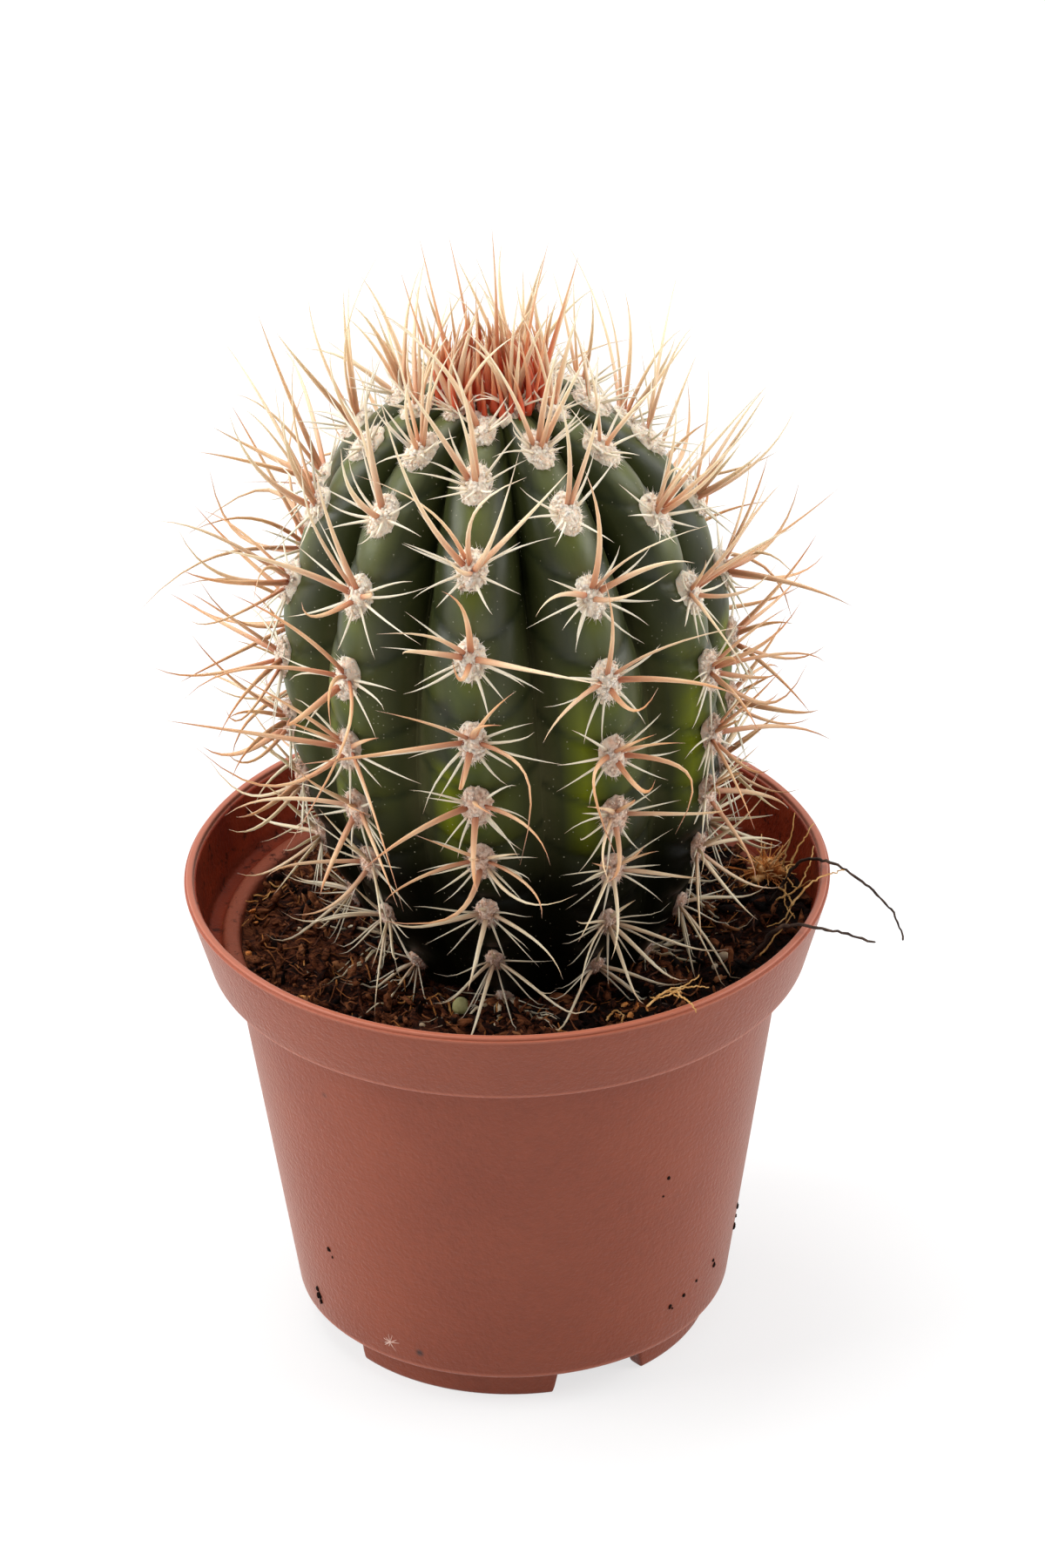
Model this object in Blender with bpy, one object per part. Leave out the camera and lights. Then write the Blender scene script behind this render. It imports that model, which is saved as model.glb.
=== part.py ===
"""Potted column cactus: a ribbed, spiny stem rooted in the soil of a round plastic nursery pot.

Units are metres and +Z is up. The origin is on the ground, on the axis of the pot, and -Y is the front.
Azimuths are counted from the front (-Y) towards +X.
"""

import math

import bmesh
import bpy
import numpy as np
from mathutils import Vector

# Pot: injection-moulded polypropylene, 12 cm across the rim.
RIM_RADIUS = 0.0600
POT_HEIGHT = 0.0930
RIM_LIP = 0.0024
COLLAR_DEPTH = 0.0152
COLLAR_FOOT_RADIUS = 0.0558
BODY_TOP_RADIUS = 0.0514
BODY_FOOT_RADIUS = 0.0406
WALL = 0.0014
LEDGE_DROP = 0.0128
FLOOR_THICKNESS = 0.0015
FOOT_HEIGHT = 0.0064
FOOT_RADIUS = 0.0369
FOOT_WIDTH = 0.0033
FOOT_GAP_AZIMUTHS = (25.5, 115.5, 205.5, 295.5)
FOOT_GAP_ANGLE = 27.0
DRAIN_HOLE_RADIUS = 0.0035
DRAIN_HOLE_RING = 0.0230
DRAIN_HOLES = 6
POT_STEPS = 56

# Clearance between pieces that touch.
GAP = 0.0003
SEAT = 0.0004

# Soil: its level at the pot's axis, and the heap that lies against the right-hand wall.
SOIL_LEVEL = 0.0788
SOIL_HEAP = 0.0042
SOIL_HEAP_AZIMUTH = 78.0
SOIL_HEAP_SPREAD = 42.0
SOIL_HEAP_START = 0.0240
SOIL_RIPPLE = 0.0005
SOCKET_CLEARANCE = 0.0005

# Stem: crest line of a rib as (radius, height), from the rooted tip up to the crown.
RIBS = 10
FIRST_RIB_AZIMUTH = -9.1
CREST_LINE = (
    (0.0100, 0.0690), (0.0190, 0.0722), (0.0254, 0.0810), (0.0336, 0.0960), (0.0382, 0.1140),
    (0.0406, 0.1320), (0.0402, 0.1500), (0.0356, 0.1670), (0.0288, 0.1795), (0.0180, 0.1893),
    (0.0080, 0.1940),
)
# Furrows: their depth as a share of the crest radius, at rising heights. The rooted end is round.
FURROW_DEPTHS = ((0.0700, 0.00), (0.0960, 0.16), (0.1300, 0.28), (0.1560, 0.38))
STEM_FOOT = 0.0684
STEM_TOP = 0.1953
RINGS_PER_SPAN = 2
FURROW_SHARPNESS = 0.5
RIB_COLUMNS = (0.0, 0.14, 0.32, 0.5, 0.68, 0.86)
LEAN_HEIGHT = 0.1380
LEAN_SHIFT = (0.0009, 0.0)
LEAN_SLOPE = (-0.036, -0.028)

# Areoles: heights of the wool cushions down one rib, and how far each rib is shifted along them.
AREOLE_HEIGHTS = (
    0.1953, 0.1922, 0.1862, 0.1744, 0.1594, 0.1436, 0.1302, 0.1176, 0.1049, 0.0918, 0.0790,
)
AREOLE_SHIFTS = (0.0, 0.4, 0.9, 0.45, 0.0, 0.5, 0.0, 0.5, 0.08, 0.57)
AREOLE_TOP = 0.1908
AREOLE_FOOT = 0.0885
WEAK_BELOW = 0.0850
STRONG_ABOVE = 0.1300
AREOLE_HALF_WIDTH = 0.0034
AREOLE_HALF_LENGTH = 0.0044
AREOLE_THICKNESS = 0.0013
LOW_AREOLE_SCALE = 0.72

# Spines: lengths of the stout central ones and of the thin radial ones, high and low on the stem.
CENTRAL_LENGTH = 0.0258
LOW_CENTRAL_LENGTH = 0.0110
RADIAL_LENGTH = 0.0105
LOW_RADIAL_LENGTH = 0.0070
CENTRAL_WIDTH = 0.0015
RADIAL_WIDTH = 0.0009
SPINE_ROOT = 0.12
SPINE_BEND = 0.0030
CROWN_RADIUS = 0.0095
CROWN_WOOL = 0.0027
CROWN_LENGTH = 0.0315

# Plant debris: dead rootlets over the rim, and a clump of coir on the soil.
LONG_ROOTLET = (
    (0.0488, 0.0010, 0.0838), (0.0535, 0.0012, 0.0918), (0.0568, 0.0002, 0.0940),
    (0.0606, -0.0020, 0.0940), (0.0650, -0.0042, 0.0922), (0.0690, -0.0060, 0.0890),
    (0.0718, -0.0075, 0.0858), (0.0733, -0.0090, 0.0815),
)
LONG_ROOTLET_RADIUS = 0.0004
SHORT_ROOTLET = (
    (0.0440, -0.0200, 0.0840), (0.0485, -0.0222, 0.0915), (0.0520, -0.0238, 0.0942),
    (0.0558, -0.0250, 0.0944), (0.0612, -0.0260, 0.0936), (0.0668, -0.0268, 0.0918),
)
SHORT_ROOTLET_RADIUS = 0.0005
COIR_PLACE = (0.0482, 0.0128)
COIR_RADII = (0.0042, 0.0036, 0.0028)


def clear_scene():
    for thing in list(bpy.data.objects):
        bpy.data.objects.remove(thing, do_unlink=True)


def plain_material(name, colour, roughness):
    """A plain opaque material of one colour; nothing on this plant is metal."""
    material = bpy.data.materials.new(name)
    material.use_nodes = True
    shader = material.node_tree.nodes["Principled BSDF"]
    shader.inputs["Base Color"].default_value = (*colour, 1.0)
    shader.inputs["Roughness"].default_value = roughness
    shader.inputs["Metallic"].default_value = 0.0
    return material


def mesh_object(name, mesh, material):
    mesh.materials.append(material)
    thing = bpy.data.objects.new(name, mesh)
    bpy.context.scene.collection.objects.link(thing)
    return thing


def object_from_bmesh(name, bm, material, sharp_degrees=40.0):
    bmesh.ops.recalc_face_normals(bm, faces=bm.faces)
    mesh = bpy.data.meshes.new(name)
    bm.to_mesh(mesh)
    bm.free()
    mesh.shade_smooth()
    mesh.set_sharp_from_angle(angle=math.radians(sharp_degrees))
    return mesh_object(name, mesh, material)


def smooth_step(value):
    """0 below 0, 1 above 1, and an even S between them."""
    t = min(max(value, 0.0), 1.0)
    return t * t * (3.0 - 2.0 * t)


def outward(azimuth):
    """The level direction that points away from the axis at this azimuth, in degrees."""
    angle = math.radians(azimuth)
    return Vector((math.sin(angle), -math.cos(angle), 0.0))


# ---------------------------------------------------------------- pot


def pot_profile():
    """The pot's section as (radius, height): up the inside, over the rim, and down the outside."""
    floor_top = FOOT_HEIGHT + FLOOR_THICKNESS
    ledge = POT_HEIGHT - LEDGE_DROP
    collar_foot = POT_HEIGHT - COLLAR_DEPTH
    inner_top = BODY_TOP_RADIUS - WALL
    inner_foot = BODY_FOOT_RADIUS - WALL
    foot_inner = FOOT_RADIUS - FOOT_WIDTH
    return [
        (0.0, floor_top),
        (inner_foot - 0.0010, floor_top),
        (inner_foot + 0.0002, floor_top + 0.0012),
        (inner_top, ledge - 0.0020),
        (inner_top + 0.0005, ledge - 0.0006),
        (inner_top + 0.0016, ledge),
        (COLLAR_FOOT_RADIUS + 0.0002, ledge + 0.0003),
        (RIM_RADIUS - RIM_LIP - 0.0001, POT_HEIGHT - 0.0012),
        (RIM_RADIUS - RIM_LIP + 0.0005, POT_HEIGHT - 0.0002),
        (RIM_RADIUS - RIM_LIP + 0.0012, POT_HEIGHT),
        (RIM_RADIUS - 0.0006, POT_HEIGHT - 0.0002),
        (RIM_RADIUS, POT_HEIGHT - 0.0009),
        (RIM_RADIUS - 0.0002, POT_HEIGHT - 0.0018),
        (COLLAR_FOOT_RADIUS + 0.0001, collar_foot + 0.0004),
        (COLLAR_FOOT_RADIUS - 0.0005, collar_foot),
        (BODY_TOP_RADIUS + 0.0004, collar_foot - 0.0004),
        (BODY_TOP_RADIUS, collar_foot - 0.0012),
        (BODY_FOOT_RADIUS + 0.0001, FOOT_HEIGHT + 0.0008),
        (BODY_FOOT_RADIUS - 0.0008, FOOT_HEIGHT),
        (FOOT_RADIUS + 0.0006, FOOT_HEIGHT),
        (FOOT_RADIUS, 0.0012),
        (FOOT_RADIUS - 0.0010, 0.0),
        (foot_inner, 0.0),
        (foot_inner - 0.0004, FOOT_HEIGHT - 0.0002),
        (0.0, FOOT_HEIGHT - 0.0002),
    ]


def turned_mesh(name, profile):
    """A bare section in the XZ plane, for a Screw modifier to turn about the axis."""
    mesh = bpy.data.meshes.new(name)
    points = [(radius, 0.0, height) for radius, height in profile]
    edges = [(i, i + 1) for i in range(len(points) - 1)]
    mesh.from_pydata(points, edges, [])
    return mesh


def cutter(name, bm):
    """A closed solid that only cuts: it isn't part of the plant or the pot."""
    bmesh.ops.recalc_face_normals(bm, faces=bm.faces)
    mesh = bpy.data.meshes.new(name)
    bm.to_mesh(mesh)
    bm.free()
    thing = bpy.data.objects.new(name, mesh)
    bpy.context.scene.collection.objects.link(thing)
    thing.hide_render = True
    thing.display_type = "WIRE"
    return thing


def foot_gap_cutter():
    """Four wedges that open the ring under the pot into four feet."""
    bm = bmesh.new()
    inner, outer = FOOT_RADIUS - FOOT_WIDTH - 0.004, FOOT_RADIUS + 0.003
    low, high = -0.002, FOOT_HEIGHT - 0.0008
    for middle in FOOT_GAP_AZIMUTHS:
        first = outward(middle - FOOT_GAP_ANGLE / 2)
        last = outward(middle + FOOT_GAP_ANGLE / 2)
        corners = []
        for height in (low, high):
            for direction, radius in ((first, inner), (first, outer), (last, outer), (last, inner)):
                corners.append(bm.verts.new(direction * radius + Vector((0, 0, height))))
        bottom, top = corners[:4], corners[4:]
        bm.faces.new(bottom)
        bm.faces.new(top)
        for i in range(4):
            j = (i + 1) % 4
            bm.faces.new((bottom[i], bottom[j], top[j], top[i]))
    return cutter("foot_gap_cutter", bm)


def drain_hole_cutter():
    """Round holes through the floor: one in the middle and a ring about it."""
    bm = bmesh.new()
    centres = [Vector((0, 0, FOOT_HEIGHT))]
    for i in range(DRAIN_HOLES):
        centres.append(outward(360.0 * i / DRAIN_HOLES) * DRAIN_HOLE_RING + Vector((0, 0, FOOT_HEIGHT)))
    for centre in centres:
        made = bmesh.ops.create_cone(
            bm, cap_ends=True, segments=12, radius1=DRAIN_HOLE_RADIUS, radius2=DRAIN_HOLE_RADIUS, depth=0.008
        )
        bmesh.ops.translate(bm, verts=made["verts"], vec=centre)
    return cutter("drain_hole_cutter", bm)


def make_pot():
    """One moulded shell: tapered body, stepped-out collar with an inner ledge, and a ring of four feet."""
    material = plain_material("terracotta_polypropylene", (0.240, 0.073, 0.047), 0.55)
    mesh = turned_mesh("pot", pot_profile())
    pot = mesh_object("pot", mesh, material)
    screw = pot.modifiers.new("turn", "SCREW")
    screw.axis = "Z"
    screw.angle = 2 * math.pi
    screw.steps = POT_STEPS
    screw.render_steps = POT_STEPS
    screw.use_merge_vertices = True
    screw.merge_threshold = 0.00001
    screw.use_smooth_shade = True
    for cutting in (foot_gap_cutter(), drain_hole_cutter()):
        cut = pot.modifiers.new(cutting.name, "BOOLEAN")
        cut.operation = "DIFFERENCE"
        cut.solver = "EXACT"
        cut.object = cutting
    return pot


# ---------------------------------------------------------------- stem


def crest_curve():
    """Points (radius, height) up the rib's crest: a Catmull-Rom curve through CREST_LINE."""
    line = [np.array(point) for point in CREST_LINE]
    padded = [2 * line[0] - line[1], *line, 2 * line[-1] - line[-2]]
    curve = []
    for a, b, c, d in zip(padded, padded[1:], padded[2:], padded[3:]):
        for step in range(RINGS_PER_SPAN):
            t = step / RINGS_PER_SPAN
            blend = 2 * b + (c - a) * t + (2 * a - 5 * b + 4 * c - d) * t**2 + (3 * b - a - 3 * c + d) * t**3
            curve.append(0.5 * blend)
    curve.append(line[-1])
    return np.array(curve)


CREST = crest_curve()


def crest_radius(height):
    return float(np.interp(height, CREST[:, 1], CREST[:, 0]))


def furrow_depth(height):
    """How deep the furrow is at this height, as a share of the crest radius."""
    return float(np.interp(height, *np.array(FURROW_DEPTHS).T))


def rib_shape(share):
    """The section across one rib: 0 in the furrow, 1 on the crest, with steep flanks."""
    return math.sin(math.pi * share) ** FURROW_SHARPNESS if 0.0 < share < 1.0 else 0.0


def stem_columns():
    """(azimuth, share across the rib) for each column of the stem's mesh, all the way round."""
    pitch = 360.0 / RIBS
    columns = []
    for rib in range(RIBS):
        start = FIRST_RIB_AZIMUTH + (rib - 0.5) * pitch
        columns += [(start + share * pitch, share) for share in RIB_COLUMNS]
    return columns


def stem_axis(height):
    """The stem leans a little, so its axis moves sideways with height."""
    rise = height - LEAN_HEIGHT
    return Vector((LEAN_SHIFT[0] + LEAN_SLOPE[0] * rise, LEAN_SHIFT[1] + LEAN_SLOPE[1] * rise, height))


def stem_ring(height, radius, clearance=0.0):
    """The stem's outline at one height, as points, moved outwards by a clearance."""
    depth = furrow_depth(height)
    centre = stem_axis(height)
    ring = []
    for azimuth, share in stem_columns():
        reach = radius * (1.0 - depth * (1.0 - rib_shape(share))) + clearance
        ring.append(centre + outward(azimuth) * reach)
    return ring


def skin_rings(bm, rings):
    """Quads between each two neighbouring rings of vertices."""
    for low, high in zip(rings, rings[1:]):
        count = len(low)
        for i in range(count):
            j = (i + 1) % count
            bm.faces.new((low[i], low[j], high[j], high[i]))


def fan(bm, ring, point):
    """Triangles that close a ring of vertices to one point."""
    tip = bm.verts.new(point)
    for i, vert in enumerate(ring):
        bm.faces.new((vert, ring[(i + 1) % len(ring)], tip))


def make_stem():
    """One fleshy barrel of ten ribs, from its rooted tip to its crown."""
    bm = bmesh.new()
    rings = [[bm.verts.new(point) for point in stem_ring(z, r)] for r, z in CREST]
    skin_rings(bm, rings)
    fan(bm, rings[0], stem_axis(STEM_FOOT))
    fan(bm, rings[-1], stem_axis(STEM_TOP))
    material = plain_material("waxy_green_skin", (0.052, 0.085, 0.030), 0.45)
    return object_from_bmesh("cactus_stem", bm, material, 60.0)


# ---------------------------------------------------------------- soil


def soil_height(point):
    """The soil's level: low in front and behind, heaped against the wall on the right."""
    radius = math.hypot(point.x, point.y)
    azimuth = math.degrees(math.atan2(point.x, -point.y))
    turn = (azimuth - SOIL_HEAP_AZIMUTH + 180.0) % 360.0 - 180.0
    rise = smooth_step((radius - SOIL_HEAP_START) / SOIL_HEAP_START)
    heap = SOIL_HEAP * math.exp(-((turn / SOIL_HEAP_SPREAD) ** 2)) * rise
    ripple = SOIL_RIPPLE * math.sin(260.0 * point.x + 1.0) * math.cos(310.0 * point.y)
    return SOIL_LEVEL + heap + ripple


def make_soil():
    """One plug of potting soil that fills the pot, with a socket that fits the stem's rooted end."""
    bm = bmesh.new()
    floor = FOOT_HEIGHT + FLOOR_THICKNESS + GAP
    lower = BODY_FOOT_RADIUS - WALL - 0.0010
    upper = BODY_TOP_RADIUS - WALL - GAP
    shoulder = POT_HEIGHT - LEDGE_DROP - 0.0026
    socket = [(z, r) for r, z in CREST if z < SOIL_LEVEL - 2 * SOCKET_CLEARANCE]
    azimuths = [azimuth for azimuth, _ in stem_columns()]
    rings = []
    for radius, height in ((lower, floor), (lower + 0.0009, floor + 0.0012), (upper, shoulder)):
        rings.append([outward(azimuth) * radius + Vector((0, 0, height)) for azimuth in azimuths])
    mouth = stem_ring(SOIL_LEVEL, crest_radius(SOIL_LEVEL), SOCKET_CLEARANCE)
    for share in (0.0, 0.18, 0.45, 0.75, 1.0):
        ring = []
        for azimuth, inner in zip(azimuths, mouth):
            outer = outward(azimuth) * upper
            point = outer.lerp(inner, share)
            point.z = soil_height(point)
            ring.append(point)
        rings.append(ring)
    for height, radius in reversed(socket):
        rings.append(stem_ring(height - SOCKET_CLEARANCE, radius, SOCKET_CLEARANCE))
    rings = [[bm.verts.new(point) for point in ring] for ring in rings]
    skin_rings(bm, rings)
    fan(bm, rings[0], (0.0, 0.0, floor))
    fan(bm, rings[-1], stem_axis(STEM_FOOT - 2 * SOCKET_CLEARANCE))
    material = plain_material("potting_soil", (0.018, 0.008, 0.005), 0.95)
    return object_from_bmesh("soil", bm, material)


# ---------------------------------------------------------------- spines


def keep_in_sector(point, azimuth):
    """Moves a point sideways, if need be, so that it stays over its own rib."""
    centre = stem_axis(point.z)
    ahead = outward(azimuth)
    across = outward(azimuth + 90.0)
    reach = (point - centre).dot(ahead)
    limit = max(reach * math.tan(math.pi / RIBS) - 0.0008, 0.0002)
    aside = (point - centre).dot(across)
    return point + across * (min(max(aside, -limit), limit) - aside)


def grow_spine(bm, face, azimuth, points, width):
    """Draws a face out into a tapering spine, with a ring at each point but the last, its tip."""
    corners = list(face.verts)
    centre = face.calc_center_median()
    spread = max((corner.co - centre).length for corner in corners)
    bm.faces.remove(face)
    for index, point in enumerate(points[:-1]):
        scale = width * 0.5 * (1.0 - 0.35 * index) / spread
        place = keep_in_sector(point, azimuth)
        ring = [bm.verts.new(place + (corner.co - centre) * scale) for corner in corners]
        for i in range(len(corners)):
            j = (i + 1) % len(corners)
            bm.faces.new((corners[i], corners[j], ring[j], ring[i]))
        corners, centre = ring, place
        spread = max((corner.co - centre).length for corner in corners)
    fan(bm, corners, keep_in_sector(points[-1], azimuth))


def areole_frame(azimuth, height):
    """Centre on the crest, and the directions out of the skin, up the rib and across it."""
    step = 0.0015
    low, high = crest_radius(height - step), crest_radius(height + step)
    ahead = outward(azimuth)
    upward = (stem_axis(height + step) + ahead * high) - (stem_axis(height - step) + ahead * low)
    upward.normalize()
    across = outward(azimuth + 90.0)
    centre = stem_axis(height) + ahead * crest_radius(height)
    return centre, across.cross(upward).normalized(), upward, across


def make_areole(bm, azimuth, height):
    """One wool cushion with its spines. Returns the facets that face up and down the rib."""
    centre, out, upward, across = areole_frame(azimuth, height)
    radius = crest_radius(height)
    vigour = smooth_step((height - WEAK_BELOW) / (STRONG_ABOVE - WEAK_BELOW))
    size = LOW_AREOLE_SCALE + (1.0 - LOW_AREOLE_SCALE) * vigour
    half_width = min(AREOLE_HALF_WIDTH * size, radius * math.tan(math.pi / RIBS) - AREOLE_THICKNESS)
    half_length = AREOLE_HALF_LENGTH * size
    base = centre + out * SEAT

    def place(angle, spread, lift):
        turn = math.radians(angle)
        flat = across * (math.sin(turn) * half_width) + upward * (math.cos(turn) * half_length)
        return base + flat * spread + out * lift

    corners = (-9, 9, 62, 118, 171, 189, 242, 298)
    low = [bm.verts.new(place(angle, 1.0, 0.0)) for angle in corners]
    high = [bm.verts.new(place(angle, 0.82, AREOLE_THICKNESS)) for angle in corners]
    bm.faces.new(low)
    middle = bm.verts.new(base + out * (AREOLE_THICKNESS * 1.25))
    sides, tops = [], []
    for i in range(len(corners)):
        j = (i + 1) % len(corners)
        sides.append(bm.faces.new((low[i], low[j], high[j], high[i])))
        tops.append(bm.faces.new((high[i], high[j], middle)))

    def spine(face, angle, tilt, length, width, bend):
        """Leaves at a tilt from straight out, and bends up or down by the given length at its tip."""
        turn, lean = math.radians(angle), math.radians(tilt)
        sideways = across * math.sin(turn) + upward * math.cos(turn)
        heading = (out * math.cos(lean) + sideways * math.sin(lean)) * length
        start = face.calc_center_median()
        points = [start + heading * SPINE_ROOT, start + heading + upward * bend]
        grow_spine(bm, face, azimuth, points, width)

    central = LOW_CENTRAL_LENGTH + (CENTRAL_LENGTH - LOW_CENTRAL_LENGTH) * vigour
    radial = LOW_RADIAL_LENGTH + (RADIAL_LENGTH - LOW_RADIAL_LENGTH) * vigour
    bend = SPINE_BEND * vigour
    spine(tops[1], 24, 36, central, CENTRAL_WIDTH, 0.0)
    spine(tops[2], 92, 44, central * 0.92, CENTRAL_WIDTH, bend)
    spine(tops[5], 204, 32, central, CENTRAL_WIDTH, bend)
    spine(tops[6], 268, 44, central * 0.92, CENTRAL_WIDTH, bend)
    for face, angle in ((sides[2], 88), (sides[3], 142), (sides[5], 218), (sides[6], 272)):
        spine(face, angle, 72, radial, RADIAL_WIDTH, 0.0)
    return sides[0], sides[4]


def bridge(bm, lower, upper):
    """Joins one cushion to the next below it by the spine that lies down the crest between them."""
    bmesh.ops.bridge_loops(bm, edges=list({*lower.edges, *upper.edges}))
    bm.faces.remove(lower)
    bm.faces.remove(upper)


def areole_heights(shift):
    """The heights of one rib's cushions, from the crown down."""
    count = len(AREOLE_HEIGHTS)
    heights = [float(np.interp(i + shift, range(count), AREOLE_HEIGHTS)) for i in range(count)]
    return [height for height in heights if AREOLE_FOOT <= height <= AREOLE_TOP]


def make_spine_row(rib, material):
    """The cushions and spines down one rib, joined end to end into one piece."""
    azimuth = FIRST_RIB_AZIMUTH + rib * 360.0 / RIBS
    bm = bmesh.new()
    previous = None
    for height in areole_heights(AREOLE_SHIFTS[rib]):
        upper, lower = make_areole(bm, azimuth, height)
        if previous is not None:
            bridge(bm, previous, upper)
        previous = lower
    return object_from_bmesh(f"spine_row_{rib + 1:02d}", bm, material)


def crown_height(radius):
    """The stem's height at this radius, near its top."""
    crown = CREST[CREST[:, 1] > AREOLE_HEIGHTS[3]][::-1]
    return float(np.interp(radius, [0.0, *crown[:, 0]], [STEM_TOP, *crown[:, 1]]))


def crown_ring(bm, azimuths, radius, lift):
    """A ring of vertices at this radius, lifted off the stem's top."""
    centre = stem_axis(crown_height(radius) + lift)
    return [bm.verts.new(centre + outward(azimuth) * radius) for azimuth in azimuths]


def make_crown_spines(material):
    """The youngest spines: a woolly cap on the stem's tip with upright spines and a ring leaning out."""
    bm = bmesh.new()
    pitch = 360.0 / RIBS
    middles = [FIRST_RIB_AZIMUTH + rib * pitch for rib in range(RIBS)]
    edges = [azimuth - pitch / 2 for azimuth in middles]
    low = crown_ring(bm, edges, CROWN_RADIUS, SEAT + 0.0001)
    mid = crown_ring(bm, edges, CROWN_RADIUS * 0.9, CROWN_WOOL * 0.6)
    top = crown_ring(bm, edges, CROWN_RADIUS * 0.45, CROWN_WOOL * 0.9)
    under = bm.verts.new(stem_axis(STEM_TOP + SEAT))
    tip = bm.verts.new(stem_axis(STEM_TOP + CROWN_WOOL))
    for i, azimuth in enumerate(middles):
        j = (i + 1) % RIBS
        bm.faces.new((low[j], low[i], under))
        bm.faces.new((low[i], low[j], mid[j], mid[i]))
        outer = bm.faces.new((mid[i], mid[j], top[j], top[i]))
        inner = bm.faces.new((top[i], top[j], tip))
        for face, lean, length in ((outer, 24.0, CROWN_LENGTH * 0.9), (inner, 7.0, CROWN_LENGTH)):
            start = face.calc_center_median()
            tilt = math.radians(lean)
            heading = (outward(azimuth) * math.sin(tilt) + Vector((0, 0, math.cos(tilt)))) * length
            grow_spine(bm, face, azimuth, [start + heading * SPINE_ROOT, start + heading], CENTRAL_WIDTH)
    return object_from_bmesh("crown_spines", bm, material)


# ---------------------------------------------------------------- plant debris


def make_rootlet(name, points, radius, material):
    """A dead rootlet: a thin tube that starts on the soil and hangs over the pot's rim."""
    curve = bpy.data.curves.new(name, "CURVE")
    curve.dimensions = "3D"
    curve.bevel_depth = radius
    curve.bevel_resolution = 1
    curve.use_fill_caps = True
    spline = curve.splines.new("POLY")
    spline.points.add(len(points) - 1)
    for target, point in zip(spline.points, points):
        target.co = (*point, 1.0)
    curve.materials.append(material)
    thing = bpy.data.objects.new(name, curve)
    bpy.context.scene.collection.objects.link(thing)
    return thing


def make_coir_clump():
    """A matted clump of coir fibre: a lumpy ball that lies on the heaped soil."""
    place = Vector((*COIR_PLACE, 0.0))
    place.z = soil_height(place) + COIR_RADII[2] + GAP
    bm = bmesh.new()
    bmesh.ops.create_icosphere(bm, subdivisions=2, radius=1.0)
    for vert in bm.verts:
        x, y, z = vert.co
        lump = 1.0 + 0.16 * math.sin(5.0 * x + 2.0) * math.cos(4.0 * y) + 0.10 * math.sin(7.0 * z + x)
        vert.co = Vector([c + r * v * lump for c, r, v in zip(place, COIR_RADII, (x, y, z))])
    material = plain_material("coir_fibre", (0.230, 0.090, 0.022), 0.9)
    return object_from_bmesh("coir_clump", bm, material)


# ---------------------------------------------------------------- assembly

clear_scene()
make_pot()
make_soil()
make_stem()
spine_material = plain_material("horny_spine", (0.640, 0.440, 0.270), 0.5)
for rib_number in range(RIBS):
    make_spine_row(rib_number, spine_material)
make_crown_spines(spine_material)
rootlet_material = plain_material("dead_root", (0.040, 0.030, 0.026), 0.8)
make_rootlet("dead_rootlet_long", LONG_ROOTLET, LONG_ROOTLET_RADIUS, rootlet_material)
make_rootlet("dead_rootlet_short", SHORT_ROOTLET, SHORT_ROOTLET_RADIUS, rootlet_material)
make_coir_clump()
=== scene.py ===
"""A young ribbed column cactus in a round plastic nursery pot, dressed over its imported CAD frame.

Units are metres and +Z is up. -Y is the front, and azimuths turn from the front towards +X.
"""

import math
from functools import partial

import bpy
import numpy as np
from mathutils import Matrix, Vector


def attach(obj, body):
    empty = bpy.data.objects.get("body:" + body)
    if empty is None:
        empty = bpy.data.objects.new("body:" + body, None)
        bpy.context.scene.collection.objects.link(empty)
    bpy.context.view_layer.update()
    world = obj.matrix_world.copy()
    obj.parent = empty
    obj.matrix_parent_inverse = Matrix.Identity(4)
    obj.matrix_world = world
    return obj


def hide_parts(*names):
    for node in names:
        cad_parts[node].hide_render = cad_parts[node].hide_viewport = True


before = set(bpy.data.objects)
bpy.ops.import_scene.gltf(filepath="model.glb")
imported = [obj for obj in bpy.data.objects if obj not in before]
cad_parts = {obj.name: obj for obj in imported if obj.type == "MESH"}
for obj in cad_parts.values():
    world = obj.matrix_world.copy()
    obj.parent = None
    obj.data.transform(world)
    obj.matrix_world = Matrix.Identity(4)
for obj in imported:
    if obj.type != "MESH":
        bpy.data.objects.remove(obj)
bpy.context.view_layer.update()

# Camera ----------------------------------------------------
# A long lens 1.67 m away looks down at the plant from the front, and is turned a little to its right.
CAMERA_TARGET = Vector((0.0, 0.0, 0.08364))
CAMERA_DISTANCE = 1.6674
CAMERA_LENS = 205.7
CAMERA_ELEVATION = math.radians(31.126)
CAMERA_ROLL = math.radians(-0.968)
AIM_ABOVE_TARGET = math.radians(0.8166)
AIM_BESIDE_TARGET = math.radians(0.0947)

camera_data = bpy.data.cameras.new("camera")
camera_data.lens = CAMERA_LENS
camera = bpy.data.objects.new("camera", camera_data)
bpy.context.scene.collection.objects.link(camera)
bpy.context.scene.camera = camera
backwards = Vector((0.0, -math.cos(CAMERA_ELEVATION), math.sin(CAMERA_ELEVATION)))
camera.matrix_world = (
    Matrix.Translation(CAMERA_TARGET + CAMERA_DISTANCE * backwards)
    @ Matrix.Rotation(math.pi / 2 - CAMERA_ELEVATION, 4, "X")
    @ Matrix.Rotation(CAMERA_ROLL, 4, "Z")
    @ Matrix.Rotation(AIM_ABOVE_TARGET, 4, "X")
    @ Matrix.Rotation(-AIM_BESIDE_TARGET, 4, "Y")
)
bpy.context.scene.view_settings.view_transform = "Standard"

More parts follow.
